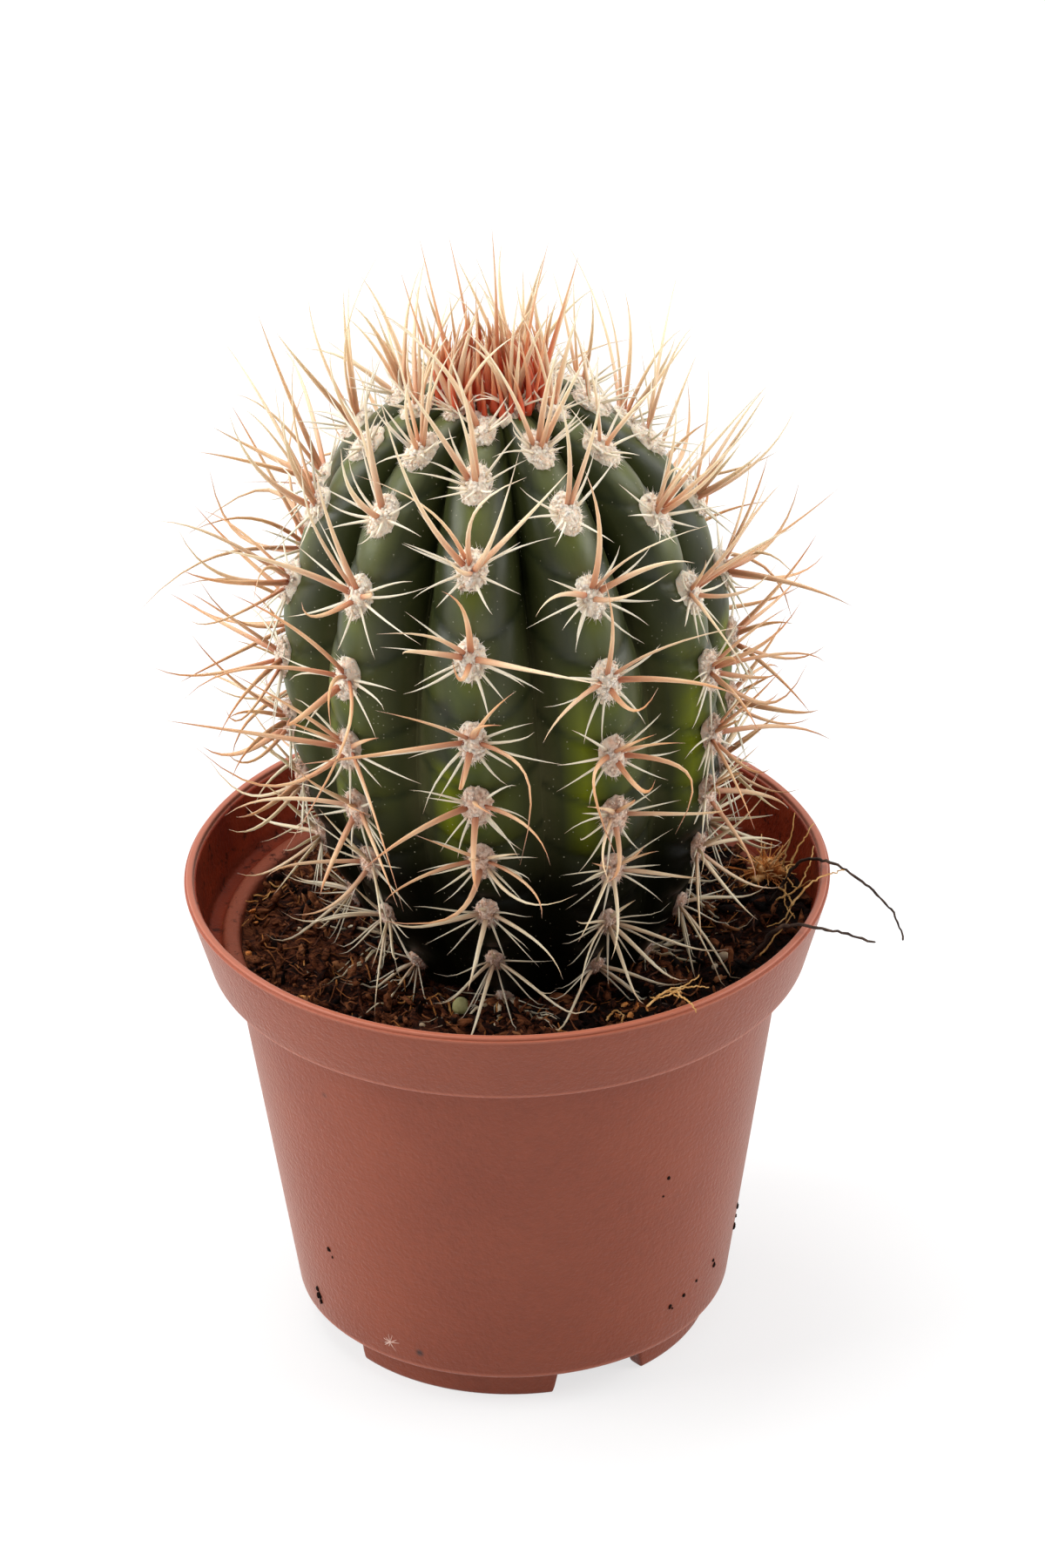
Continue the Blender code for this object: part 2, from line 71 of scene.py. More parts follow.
# Studio ----------------------------------------------------
# White sweep of painted board, lit by a top softbox and a softbox on each side. The board and the
# surroundings look white, and the board keeps the plant's soft shadow. The front of the studio is unlit,
# so what faces the front is dimmer and mirrors a dark room, and the sides mirror the white walls.
SURROUND_LIGHT = 0.60
FRONT_LIGHT = 0.36
DARK_FRONT_GLOSS = 0.15
BOARD_HALF_SIZE = 3.0
BOARD_REFLECTANCE = 0.80
BOARD_SHADOW_PART = 0.30
BOARD_WHITE_PART = 0.69
BOARD_FAR_WHITE = 1.0
BOARD_FADE = (0.45, 0.95)
LAMP_AIM = Vector((0.0, 0.0, 0.12))
SOFTBOXES = (
    # name, place, size in metres, watts
    ("softbox_top", (-0.25, 0.18, 1.35), 0.80, 11.6),
    ("softbox_left", (-1.20, -0.15, 0.70), 0.90, 13.6),
    ("softbox_right", (1.20, 0.00, 0.65), 0.90, 10.0),
)


def linear(hex_colour):
    """An sRGB colour written as six hex digits, as linear red, green, blue and 1."""
    parts = [int(hex_colour[i : i + 2], 16) / 255 for i in (1, 3, 5)]
    return (*(c / 12.92 if c <= 0.04045 else ((c + 0.055) / 1.055) ** 2.4 for c in parts), 1.0)


def set_inputs(node, inputs):
    """Gives each of a node's inputs a value, an sRGB colour, or a link from another node's output. inputs
    is a dict by the inputs' names, or a tuple in the order of the inputs in use."""
    in_use = [socket for socket in node.inputs if socket.enabled]
    named = inputs.items() if isinstance(inputs, dict) else ()
    for socket, value in [(node.inputs[name], value) for name, value in named] or zip(in_use, inputs):
        if isinstance(value, bpy.types.NodeSocket):
            node.id_data.links.new(value, socket)
        else:
            socket.default_value = linear(value) if isinstance(value, str) else value


def add_node(tree, kind, inputs=(), out=None, stops=(), **settings):
    """Adds one node and returns its output named out, or else its first one in use. stops are a colour
    ramp's (place, colour) pairs, and settings are the node's own properties."""
    node = tree.nodes.new("ShaderNode" + kind)
    for key, value in settings.items():
        setattr(node, key, value)
    set_inputs(node, inputs)
    for i, (place, colour) in enumerate(stops):
        ramp = node.color_ramp.elements
        stop = ramp[i] if i < len(ramp) else ramp.new(1.0)
        stop.position, stop.color = place, linear(colour)
    return node.outputs[out] if out else next((socket for socket in node.outputs if socket.enabled), None)


# The settings of a range that eases in and out.
SOFT = {"interpolation_type": "SMOOTHSTEP"}


def new_material(name):
    """A material with a Principled shader: the material, add_node for its own tree, and the shader."""
    material = bpy.data.materials.new(name)
    material.use_nodes = True
    return material, partial(add_node, material.node_tree), material.node_tree.nodes["Principled BSDF"]


def white_surround():
    """The world: white to the camera. Its light falls off towards the front by the Y part of the direction,
    a little on what it lights, and in gloss from white walls to a dark room."""
    world = bpy.data.worlds.new("white_surround")
    bpy.context.scene.world = world
    world.use_nodes = True
    world.node_tree.nodes.clear()
    add = partial(add_node, world.node_tree)
    path = add("LightPath").node.outputs
    towards = add("SeparateXYZ", (add("TexCoord", out="Generated"),), "Y")
    walls = add("MapRange", (towards, -0.85, -0.15, DARK_FRONT_GLOSS), **SOFT)
    even = add("MapRange", (towards, -0.9, 0.1, FRONT_LIGHT, SURROUND_LIGHT), **SOFT)
    in_gloss = add("Mix", (path["Is Glossy Ray"], even, walls))
    plain = add("Math", (path["Is Camera Ray"], path["Is Transmission Ray"]), operation="MAXIMUM")
    strength = add("Mix", (plain, in_gloss, 1.0))
    add("OutputWorld", (add("Background", ("#FFFFFF", strength)),))


def painted_board():
    """The board's paint: pale and matt for light, and for the camera and gloss lifted to white, fully so
    from about a metre away, where the board runs into the white surroundings."""
    material, add, _ = new_material("white_painted_board")
    material.node_tree.nodes.clear()
    path = add("LightPath").node.outputs
    seen = add("Math", (path["Is Camera Ray"], path["Is Glossy Ray"]), operation="MAXIMUM")
    paint = add("BsdfDiffuse", ((BOARD_REFLECTANCE,) * 3 + (1.0,),))
    shadow = add("BsdfDiffuse", ((BOARD_SHADOW_PART,) * 3 + (1.0,),))
    away = add("VectorMath", (add("TexCoord", out="Object"),), operation="LENGTH")
    whiter = add("MapRange", (away, *BOARD_FADE, BOARD_WHITE_PART, BOARD_FAR_WHITE), **SOFT)
    white = add("AddShader", (shadow, add("Emission", ("#FFFFFF", whiter))))
    add("OutputMaterial", (add("MixShader", (seen, paint, white)),))
    return material


white_surround()
board_mesh = bpy.data.meshes.new("studio_board")
board_mesh.from_pydata(
    [(x * BOARD_HALF_SIZE, y * BOARD_HALF_SIZE, 0.0) for x, y in ((-1, -1), (1, -1), (1, 1), (-1, 1))],
    [], [(0, 1, 2, 3)],
)
board_mesh.materials.append(painted_board())
board = bpy.data.objects.new("studio_board", board_mesh)
bpy.context.scene.collection.objects.link(board)
for name, place, size, watts in SOFTBOXES:
    softbox = bpy.data.lights.new(name, "AREA")
    softbox.size = size
    softbox.energy = watts
    lamp = bpy.data.objects.new(name, softbox)
    turned = (LAMP_AIM - Vector(place)).to_track_quat("-Z", "Y").to_matrix().to_4x4()
    lamp.matrix_world = Matrix.Translation(place) @ turned
    bpy.context.scene.collection.objects.link(lamp)

# Pot -------------------------------------------------------
# A 12 cm nursery pot: one injection-moulded polypropylene shell with a tapered body, a stepped-out collar,
# a smooth rim with a parting groove, drain holes in its floor and a ring of four feet under it.
RIM_RADIUS = 0.0600
POT_HEIGHT = 0.0930
RIM_WIDTH = 0.0017
COLLAR_FOOT_RADIUS = 0.0558
COLLAR_FOOT = 0.0778
LEDGE = 0.0802
LIP_RADIUS = 0.0529
LIP_HEIGHT = 0.0007
BODY_TOP_RADIUS = 0.0514
BODY_FOOT_RADIUS = 0.0406
WALL = 0.0014
POT_FLOOR = 0.0079
FOOT_HEIGHT = 0.0064
FOOT_RADIUS = 0.0369
FOOT_WIDTH = 0.0033
FOOT_GAP_AZIMUTHS = (25.5, 115.5, 205.5, 295.5)
FOOT_GAP_ANGLE = 27.0
FOOT_END_ROUNDING = 1.4
FOOT_END_COLUMNS = 9
FOOT_GAP_TOP = FOOT_HEIGHT - 0.0005
DRAIN_HOLE_RADIUS = 0.0035
DRAIN_HOLE_RING = 0.0230
DRAIN_HOLES = 6
DRILL_OVERSHOOT = 0.002
POT_COLUMNS = 240
LONGEST_STEP = 0.0045
ARC_POINTS = 5
INSIDE_FROM = 0.60
SHARP_EDGE = math.radians(50.0)
POT_CORNERS = (
    # radius, height, fillet: from the middle drain hole under the floor, up the outside and down inside
    (DRAIN_HOLE_RADIUS, FOOT_HEIGHT - 0.0002, 0.0003),
    (FOOT_RADIUS - FOOT_WIDTH - 0.0004, FOOT_HEIGHT - 0.0002, 0.0005),
    (FOOT_RADIUS - FOOT_WIDTH, 0.0, 0.0005),
    (FOOT_RADIUS, 0.0, 0.0009),
    (FOOT_RADIUS + 0.0005, FOOT_HEIGHT, 0.0004),
    (BODY_FOOT_RADIUS, FOOT_HEIGHT, 0.0007),
    (BODY_TOP_RADIUS, COLLAR_FOOT - 0.0002, 0.0007),
    (COLLAR_FOOT_RADIUS, COLLAR_FOOT, 0.0004),
    (RIM_RADIUS, POT_HEIGHT - 0.0007, 0.0002),
    (RIM_RADIUS - 0.0005, POT_HEIGHT - 0.0007, 0.0001),
    (RIM_RADIUS - 0.0004, POT_HEIGHT, 0.0004),
    (RIM_RADIUS - RIM_WIDTH, POT_HEIGHT, 0.0004),
    (RIM_RADIUS - RIM_WIDTH, POT_HEIGHT - 0.0009, 0.0002),
    (RIM_RADIUS - RIM_WIDTH - 0.0005, POT_HEIGHT - 0.0011, 0.0002),
    (COLLAR_FOOT_RADIUS, LEDGE - 0.0004, 0.0009),
    (LIP_RADIUS + 0.0005, LEDGE - 0.0006, 0.0006),
    (LIP_RADIUS, LEDGE + LIP_HEIGHT, 0.0009),
    (BODY_TOP_RADIUS - WALL, LEDGE + LIP_HEIGHT, 0.0012),
    (BODY_FOOT_RADIUS - WALL, POT_FLOOR, 0.0016),
    (DRAIN_HOLE_RADIUS, POT_FLOOR, 0.0003),
)
FLASH_AND_HIGHLIGHT_LINES = (
    # height, half width: the collar's top bead, the collar's foot and the body's foot
    (POT_HEIGHT - 0.0009, 0.0004), (COLLAR_FOOT + 0.0004, 0.0005), (FOOT_HEIGHT + 0.0006, 0.0006),
)


def smooth_step(value, start=0.0, span=1.0):
    """0 before start, 1 from one span beyond it, and an even S between them. A span below 0 runs down."""
    t = np.clip((value - start) / span, 0.0, 1.0)
    return t * t * (3.0 - 2.0 * t)


def outward(azimuth):
    """The level direction that points away from the axis at each azimuth, in degrees."""
    angle = np.radians(azimuth)
    return np.stack([np.sin(angle), -np.cos(angle), np.zeros_like(angle)], -1)


def ring_quads(rings, columns, close=False):
    """Quads between neighbouring rings of a grid that wraps round: each corner, the next along its ring,
    and the two above them. With close, the last ring also joins the first."""
    index = np.arange(rings * columns).reshape(rings, columns)
    here, above = (index, np.roll(index, -1, 0)) if close else (index[:-1], index[1:])
    return np.stack([here, np.roll(here, -1, 1), np.roll(above, -1, 1), above], -1).reshape(-1, 4)


def mesh_piece(name, points, faces, material, **marks):
    """A smooth mesh object at the origin. faces are arrays of quads or triangles. Each mark is a number
    that the material reads, for every point, or for every one of the like shapes that fill points."""
    mesh = bpy.data.meshes.new(name)
    points = np.asarray(points).reshape(-1, 3)
    mesh.from_pydata(points.tolist(), [], [row for block in faces for row in block.tolist()])
    for mark, values in marks.items():
        values = np.asarray(values, np.float32).ravel()
        layer = mesh.attributes.new(mark, "FLOAT", "POINT")
        layer.data.foreach_set("value", np.repeat(values, len(points) // len(values)))
    mesh.materials.append(material)
    mesh.shade_smooth()
    piece = bpy.data.objects.new(name, mesh)
    bpy.context.scene.collection.objects.link(piece)
    return piece


def rounded_loop(corners):
    """A closed profile through corners (radius, height, fillet). Each corner is cut back by its fillet
    along both sides and bridged by a quadratic Bezier arc; long straight runs get points between."""
    corners = np.array(corners)
    place, fillet = corners[:, :2], corners[:, 2:]
    ahead, behind = np.roll(place, -1, 0) - place, np.roll(place, 1, 0) - place
    leave = place + ahead / np.linalg.norm(ahead, axis=1, keepdims=True) * fillet
    arrive = place + behind / np.linalg.norm(behind, axis=1, keepdims=True) * fillet
    t = np.linspace(0.0, 1.0, ARC_POINTS)[:, None]
    line = []
    for i, point in enumerate(place):
        line.append(arrive[i] * (1 - t) ** 2 + point * 2 * t * (1 - t) + leave[i] * t**2)
        onward = arrive[(i + 1) % len(place)]
        steps = int(np.linalg.norm(onward - leave[i]) / LONGEST_STEP)
        line.append(leave[i] + (onward - leave[i]) * (np.arange(1, steps + 1) / (steps + 1))[:, None])
    return np.concatenate(line)


def pot_shell():
    """The pot's profile turned about the axis: radius along the outward direction, height along Z.
    In the foot gaps, what hangs below the floor is drawn up to it, with a rounded end at each foot. Also
    tells which rings are on the inside."""
    line = rounded_loop(POT_CORNERS)
    edges = [g + s * FOOT_GAP_ANGLE / 2 for g in FOOT_GAP_AZIMUTHS for s in (-1, 1)]
    rounding = np.linspace(-1, 1, FOOT_END_COLUMNS) * FOOT_END_ROUNDING
    near_edges = np.concatenate([edge + rounding for edge in edges])
    even = np.arange(POT_COLUMNS) * 360.0 / POT_COLUMNS
    even = even[np.min(np.abs(even[:, None] - np.array(edges)), axis=1) > FOOT_END_ROUNDING]
    azimuth = np.sort(np.concatenate([even, near_edges]))
    offset = np.min(np.abs((azimuth[:, None] - np.array(FOOT_GAP_AZIMUTHS) + 180) % 360 - 180), axis=1)
    gap = smooth_step(0.5 + (FOOT_GAP_ANGLE / 2 - offset) / (2 * FOOT_END_ROUNDING))
    height = line[:, 1, None] + gap * np.clip(FOOT_GAP_TOP - line[:, 1, None], 0.0, None)
    points = outward(azimuth)[None] * line[:, 0, None, None]
    points[..., 2] = height
    return points, np.arange(len(line)) > len(line) * INSIDE_FROM


def specks(add, place, scale, least, edge, core, strength=1.0):
    """Round spots on a pattern of cells: in each cell whose random number is above least, full strength
    out to core from its middle, then down to nothing at edge."""
    cells = add("TexVoronoi", (place, scale)).node.outputs
    chosen = add("SeparateColor", (cells["Color"],))
    picked = add("Math", (chosen, least), operation="GREATER_THAN")
    spot = add("MapRange", (cells["Distance"], edge, core, 0.0, strength))
    return add("Math", (spot, picked), operation="MULTIPLY")


def terracotta_polypropylene():
    """Terracotta-coloured polypropylene, moulded against a spark-eroded steel tool. That leaves a fine
    leathery grain and a satin gloss on body and collar, a smoother and brighter rim, pale lines along the
    parting edges that are partly flash and partly painted highlight, and inside a darker wall that peat
    dust has dulled. The grain, about 0.2 mm on a real pot, is drawn near 1 mm so that it shows."""
    material, add, shader = new_material("terracotta_polypropylene")
    place = add("TexCoord", out="Object")
    split = add("SeparateXYZ", (place,)).node.outputs
    level = split["Z"]
    from_axis = add("CombineXYZ", (split["X"], split["Y"]))
    radius = add("VectorMath", (from_axis,), operation="LENGTH")
    inside = add("Attribute", out="Fac", attribute_name="inside")
    cloud = add("TexNoise", (place, 45.0, 3.0))
    grain = add("TexNoise", (place, 1150.0, 2.0, 0.6))
    body = add("ValToRGB", (cloud,), stops=((0.32, "#80381E"), (0.68, "#863D22")))
    mottle = add("TexNoise", (place, 620.0, 3.0, 0.65))
    mottle = add("MapRange", (mottle, 0.3, 0.7, 0.94, 1.06))
    body = add("HueSaturation", {"Color": body, "Value": mottle})
    rim = add("MapRange", (level, POT_HEIGHT - 0.0009, POT_HEIGHT - 0.0004))
    colour = add("Mix", (rim, body, "#AC6148"), data_type="RGBA")
    # Flash and painted highlight: a pale line along each parting edge, partly pale flash and partly a painted
    # highlight where the edge catches the light.
    for line_level, half_width in FLASH_AND_HIGHLIGHT_LINES:
        off = add("Math", (level, line_level), operation="SUBTRACT")
        off = add("Math", (off,), operation="ABSOLUTE")
        near = add("MapRange", (off, half_width, 0.0, 0.0, 0.55), **SOFT)
        colour = add("Mix", (near, colour, "#B2664E"), data_type="RGBA")
    # Dirt: specks of peat a millimetre or two wide, most of them low on the body.
    low = add("MapRange", (level, 0.075, 0.004, 0.985, 0.84))
    speck = specks(add, place, 115.0, low, 0.13, 0.05)
    colour = add("Mix", (speck, colour, "#361810"), data_type="RGBA")
    # Inside: a dark, smoother wall, with peat dust wiped over it and over the paler ledge.
    smear = add("TexNoise", (place, 70.0, 4.0, 0.55))
    wall = add("ValToRGB", (smear,), stops=((0.36, "#782819"), (0.62, "#9A3D22")))
    shelf = add("MapRange", (level, LEDGE + 0.0030, LEDGE + 0.0006, 0.0, 0.7), **SOFT)
    lip = add("MapRange", (radius, LIP_RADIUS + 0.0008, LIP_RADIUS - 0.0006), **SOFT)
    crumbly = add("TexNoise", (place, 420.0, 4.0, 0.7))
    crumbly = add("MapRange", (crumbly, 0.57, 0.66, 0.0, 0.8))
    for mask, tint in ((shelf, "#70301F"), (lip, "#8A4A37"), (crumbly, "#270D07")):
        wall = add("Mix", (mask, wall, tint), data_type="RGBA")
    within = add("Math", (inside, rim), operation="SUBTRACT", use_clamp=True)
    depth = add("MapRange", (rim, 0.0, 1.0, 0.65, 0.06))
    set_inputs(shader, {
        "Base Color": add("Mix", (within, colour, wall), data_type="RGBA"),
        "IOR": 1.49,
        "Roughness": add("MapRange", (rim, 0.0, 1.0, 0.50, 0.36)),
        "Specular IOR Level": add("MapRange", (inside, 0.0, 1.0, 0.40, 0.10)),
        "Sheen Weight": add("MapRange", (inside, 0.0, 1.0, 0.54, 0.0)),
        "Sheen Roughness": 0.30,
        "Sheen Tint": "#F8DCD0",
        "Normal": add("Bump", {"Height": grain, "Strength": depth, "Distance": 0.0003}),
    })
    return material


def round_cutters():
    """The drill pins of the mould: closed upright cylinders on the ring of drain holes."""
    sides = 24
    angle = 2 * np.pi * np.arange(sides) / sides
    ring = np.stack([np.cos(angle), np.sin(angle), np.zeros(sides)], -1) * DRAIN_HOLE_RADIUS
    centres = outward(np.arange(DRAIN_HOLES) * 360.0 / DRAIN_HOLES) * DRAIN_HOLE_RING
    points, faces = [], []
    for i, centre in enumerate(centres):
        for height in (FOOT_HEIGHT - DRILL_OVERSHOOT, POT_FLOOR + DRILL_OVERSHOOT):
            points.append(ring + centre + (0.0, 0.0, height))
        start = 2 * sides * i
        faces += (ring_quads(2, sides) + start).tolist()
        faces.append(list(range(start + sides - 1, start - 1, -1)))
        faces.append(list(range(start + sides, start + 2 * sides)))
    mesh = bpy.data.meshes.new("drain_cutter")
    mesh.from_pydata(np.concatenate(points).tolist(), [], faces)
    cutter = bpy.data.objects.new("drain_cutter", mesh)
    bpy.context.scene.collection.objects.link(cutter)
    return cutter


shell_points, shell_inside = pot_shell()
shell = mesh_piece(
    "pot_shell", shell_points, [ring_quads(*shell_points.shape[:2], close=True)],
    terracotta_polypropylene(), inside=shell_inside,
)
drain_cutter = round_cutters()
drill = shell.modifiers.new("drain_holes", "BOOLEAN")
drill.object = drain_cutter
drill.solver = "EXACT"
drilled = bpy.data.meshes.new_from_object(shell.evaluated_get(bpy.context.evaluated_depsgraph_get()))
shell.modifiers.clear()
shell.data = drilled
shell.data.set_sharp_from_angle(angle=SHARP_EDGE)
bpy.data.objects.remove(drain_cutter)
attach(shell, "root")
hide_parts("pot")

# Soil ------------------------------------------------------
# Dark peat-based potting mix, filled loose by hand: a plug that fits the pot, crumbly on top, low on the
# left and at the back so that the pot's ledge shows, and heaped against the wall on the right.
SOIL_LEVEL = 0.0788
SOIL_HEAP = 0.0046
SOIL_HEAP_AZIMUTH = 78.0
SOIL_HEAP_SPREAD = 42.0
SOIL_HEAP_START = 0.0240
SOIL_OVER_LEDGE = 0.0068
SPILL_GROWTH = 2.2
SPILL_DELAY = 0.55
SOIL_EDGE = BODY_TOP_RADIUS - WALL - 0.0003
SOIL_SIDE = ((0.0378, POT_FLOOR + 0.0003), (0.0388, POT_FLOOR + 0.0015), (SOIL_EDGE, LEDGE - 0.0045))
SOIL_COLUMNS = 480
SOIL_RINGS = 84
SOIL_RING_CROWDING = 0.75
SOIL_MIDDLE = 0.002
SOIL_LUMPS = ((0.0085, 0.0012), (0.0036, 0.0012), (0.0015, 0.0008))
SOIL_PALER_LEFT = -1.9
SOIL_PATCH_TONE = 0.10
SOIL_PATCH_CELL = 0.0070
SOIL_PATCH_SEED = 7
NOISE_LATTICE = 64
NOISE_ORIGIN = (31.7, 17.3)
CRUMB_COUNT = 2600
CRUMBS_START = 0.0225
CRUMBS_STOP_SHORT = 0.0008
CRUMB_SIZES = (0.0003, 0.0015)
CRUMB_SMALLNESS = 2.2
CRUMB_SHAPES = ((0.8, 0.35, 0.25), (2.4, 0.9, 0.7))
CRUMB_LIFT = 0.35
CRUMB_TONE = (0.08, 0.20)
CRUMB_TONE_LIMITS = (-0.2, 0.7)


def value_noise(x, y, cell, seed):
    """Random heights from -1 to 1 on a square lattice of one cell, joined by a smooth S along x and y."""
    lattice = np.random.default_rng(seed).uniform(-1.0, 1.0, (NOISE_LATTICE, NOISE_LATTICE))
    x, y = x / cell + NOISE_ORIGIN[0], y / cell + NOISE_ORIGIN[1]
    column, row = np.floor(x).astype(int), np.floor(y).astype(int)
    across, along = smooth_step(x - column), smooth_step(y - row)
    near, far = (
        lattice[(row + j) % NOISE_LATTICE, column % NOISE_LATTICE] * (1 - across)
        + lattice[(row + j) % NOISE_LATTICE, (column + 1) % NOISE_LATTICE] * across
        for j in (0, 1)
    )
    return near * (1 - along) + far * along


def heap_share(azimuth):
    """1 in the middle of the heap on the right, falling off as a bell with the angle from it."""
    turn = (azimuth - SOIL_HEAP_AZIMUTH + 180.0) % 360.0 - 180.0
    return np.exp(-((turn / SOIL_HEAP_SPREAD) ** 2))


def soil_height(points):
    """The soil's surface: its level, the heap growing towards the wall, and three sizes of clods."""
    x, y = points[..., 0], points[..., 1]
    radius, azimuth = np.hypot(x, y), np.degrees(np.arctan2(x, -y))
    heap = SOIL_HEAP * heap_share(azimuth) * smooth_step(radius, SOIL_HEAP_START, SOIL_HEAP_START)
    clods = sum(size * value_noise(x, y, cell, seed) for seed, (cell, size) in enumerate(SOIL_LUMPS))
    return SOIL_LEVEL + heap + clods


def soil_reach(azimuth):
    """How far out the soil goes: to the inner wall of the body, and over the ledge where it is heaped."""
    return SOIL_EDGE + SOIL_OVER_LEDGE * smooth_step(heap_share(azimuth) * SPILL_GROWTH - SPILL_DELAY)


def soil_tone(points):
    """Paler towards the left, and clouded by patches a few millimetres wide that are damper or drier."""
    x, y = points[..., 0], points[..., 1]
    return SOIL_PALER_LEFT * x + SOIL_PATCH_TONE * value_noise(x, y, SOIL_PATCH_CELL, SOIL_PATCH_SEED)


def closed_rings(rings, columns):
    """Faces of a closed stack of rings: quads between the rings, and triangles to the point below them
    and the point above them, which come last in the list of points."""
    ring, total = np.arange(columns), rings * columns
    onward, last = np.roll(ring, -1), total - columns
    lower = np.stack([onward, ring, np.full(columns, total)], -1)
    upper = np.stack([last + ring, last + onward, np.full(columns, total + 1)], -1)
    return [ring_quads(rings, columns), np.concatenate([lower, upper])]


def like_shapes(count, size, blocks):
    """The same blocks of faces for each of count like shapes, whose points follow each other, size each."""
    return [(faces + size * np.arange(count)[:, None, None]).reshape(-1, faces.shape[1]) for faces in blocks]


def lumps(centres, axes, radii, rings, columns, roughness, rng):
    """Closed lumpy ellipsoids, all at once: each point's direction from the centre, on rings from the
    lower pole to the upper, times the radii along the three axes, times 1 plus a random share.
    centres (n, 3), axes (n, 3, 3) with one direction in each row, radii (n, 3)."""
    polar = np.pi * (np.arange(rings) + 1) / (rings + 1)
    turn = 2 * np.pi * np.arange(columns) / columns
    level, rise = np.sin(polar)[:, None], np.repeat(-np.cos(polar)[:, None], columns, 1)
    grid = np.stack([level * np.cos(turn), level * np.sin(turn), rise], -1).reshape(-1, 3)
    shape = np.concatenate([grid, [[0, 0, -1.0], [0, 0, 1.0]]])
    scale = 1.0 + roughness * rng.uniform(-1.0, 1.0, (len(centres), len(shape), 1))
    points = centres[:, None] + np.einsum("npk,nkc->npc", shape * scale * radii[:, None], axes)
    return points, like_shapes(len(centres), len(shape), closed_rings(rings, columns))


def random_axes(count, rng):
    """Random right-handed sets of three directions at right angles, one set for each lump."""
    turned = np.linalg.qr(rng.normal(size=(count, 3, 3)))[0]
    return turned * np.where(np.linalg.det(turned) < 0, -1.0, 1.0)[:, None, None]


def soil_plug():
    """A closed turned solid: flat bottom, tapered side, then the crumbly top from the wall to the axis.
    On the top, height is the soil's surface at that place."""
    azimuth = np.arange(SOIL_COLUMNS) * 360.0 / SOIL_COLUMNS
    way = outward(azimuth)
    side = np.array([way * radius + (0.0, 0.0, height) for radius, height in SOIL_SIDE])
    share = np.linspace(1.0, 0.0, SOIL_RINGS, endpoint=False)[:, None] ** SOIL_RING_CROWDING
    top = way * (SOIL_MIDDLE + (soil_reach(azimuth) - SOIL_MIDDLE) * share)[..., None]
    top[..., 2] = soil_height(top)
    poles = [[0.0, 0.0, SOIL_SIDE[0][1]], [0.0, 0.0, SOIL_LEVEL]]
    return np.concatenate([side.reshape(-1, 3), top.reshape(-1, 3), poles])


def peat():
    """Moist peat and composted bark: matt and dark brown, with brown fibres and grains from 0.5 to 3 mm.
    Its colour holds painted shade, nearly black in the gaps, and painted light on the grains that catch it."""
    material, add, shader = new_material("moist_peat")
    place = add("TexCoord", out="Object")
    stretched = add("Mapping", {"Vector": place, "Rotation": (0.3, 0.2, 0.7), "Scale": (1, 2.4, 1.5)})
    grains = add("TexNoise", (stretched, 620.0, 6.0, 0.68, 2.0, 0.6))
    tone = add("Attribute", out="Fac", attribute_name="tone")
    mixed = add("Math", (tone, 0.75, grains), operation="MULTIPLY_ADD")
    # Painted shade and light: the ramp's near-black low end is shade in the gaps, and its pale high end is
    # light on the grains.
    stops = (
        (0.30, "#060201"), (0.44, "#180803"), (0.53, "#34160B"), (0.62, "#5C301B"), (0.78, "#895232"),
        (1.0, "#AE754D"),
    )
    set_inputs(shader, {
        "Base Color": add("ValToRGB", (mixed,), stops=stops),
        "Roughness": 0.85,
        "Specular IOR Level": 0.12,
        "Normal": add("Bump", {"Height": grains, "Strength": 0.9, "Distance": 0.0009}),
    })
    return material


soil_rng = np.random.default_rng(11)
peat_material = peat()
plug_points = soil_plug()
plug_faces = closed_rings(len(SOIL_SIDE) + SOIL_RINGS, SOIL_COLUMNS)
plug = mesh_piece("soil_plug", plug_points, plug_faces, peat_material, tone=soil_tone(plug_points))
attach(plug, "root")
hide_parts("soil")

crumb_azimuth = soil_rng.uniform(0.0, 360.0, CRUMB_COUNT)
crumb_reach = soil_reach(crumb_azimuth) - CRUMBS_STOP_SHORT
crumb_share = soil_rng.uniform(0, 1, CRUMB_COUNT)
crumb_radius = np.sqrt(CRUMBS_START**2 + crumb_share * (crumb_reach**2 - CRUMBS_START**2))
crumb_centres = outward(crumb_azimuth) * crumb_radius[:, None]
crumb_share = soil_rng.uniform(0, 1, CRUMB_COUNT) ** CRUMB_SMALLNESS
crumb_size = CRUMB_SIZES[0] + (CRUMB_SIZES[1] - CRUMB_SIZES[0]) * crumb_share
crumb_centres[:, 2] = soil_height(crumb_centres) + crumb_size * CRUMB_LIFT
crumb_radii = crumb_size[:, None] * soil_rng.uniform(*CRUMB_SHAPES, (CRUMB_COUNT, 3))
crumb_axes = random_axes(CRUMB_COUNT, soil_rng)
crumb_lumps = lumps(
    crumb_centres, crumb_axes, crumb_radii, rings=3, columns=6, roughness=0.38, rng=soil_rng
)
crumb_tone = np.clip(soil_rng.normal(*CRUMB_TONE, CRUMB_COUNT), *CRUMB_TONE_LIMITS)
crumb_tone = crumb_tone + soil_tone(crumb_centres)
crumbs = mesh_piece("soil_crumbs", *crumb_lumps, peat_material, tone=crumb_tone)
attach(crumbs, "root")
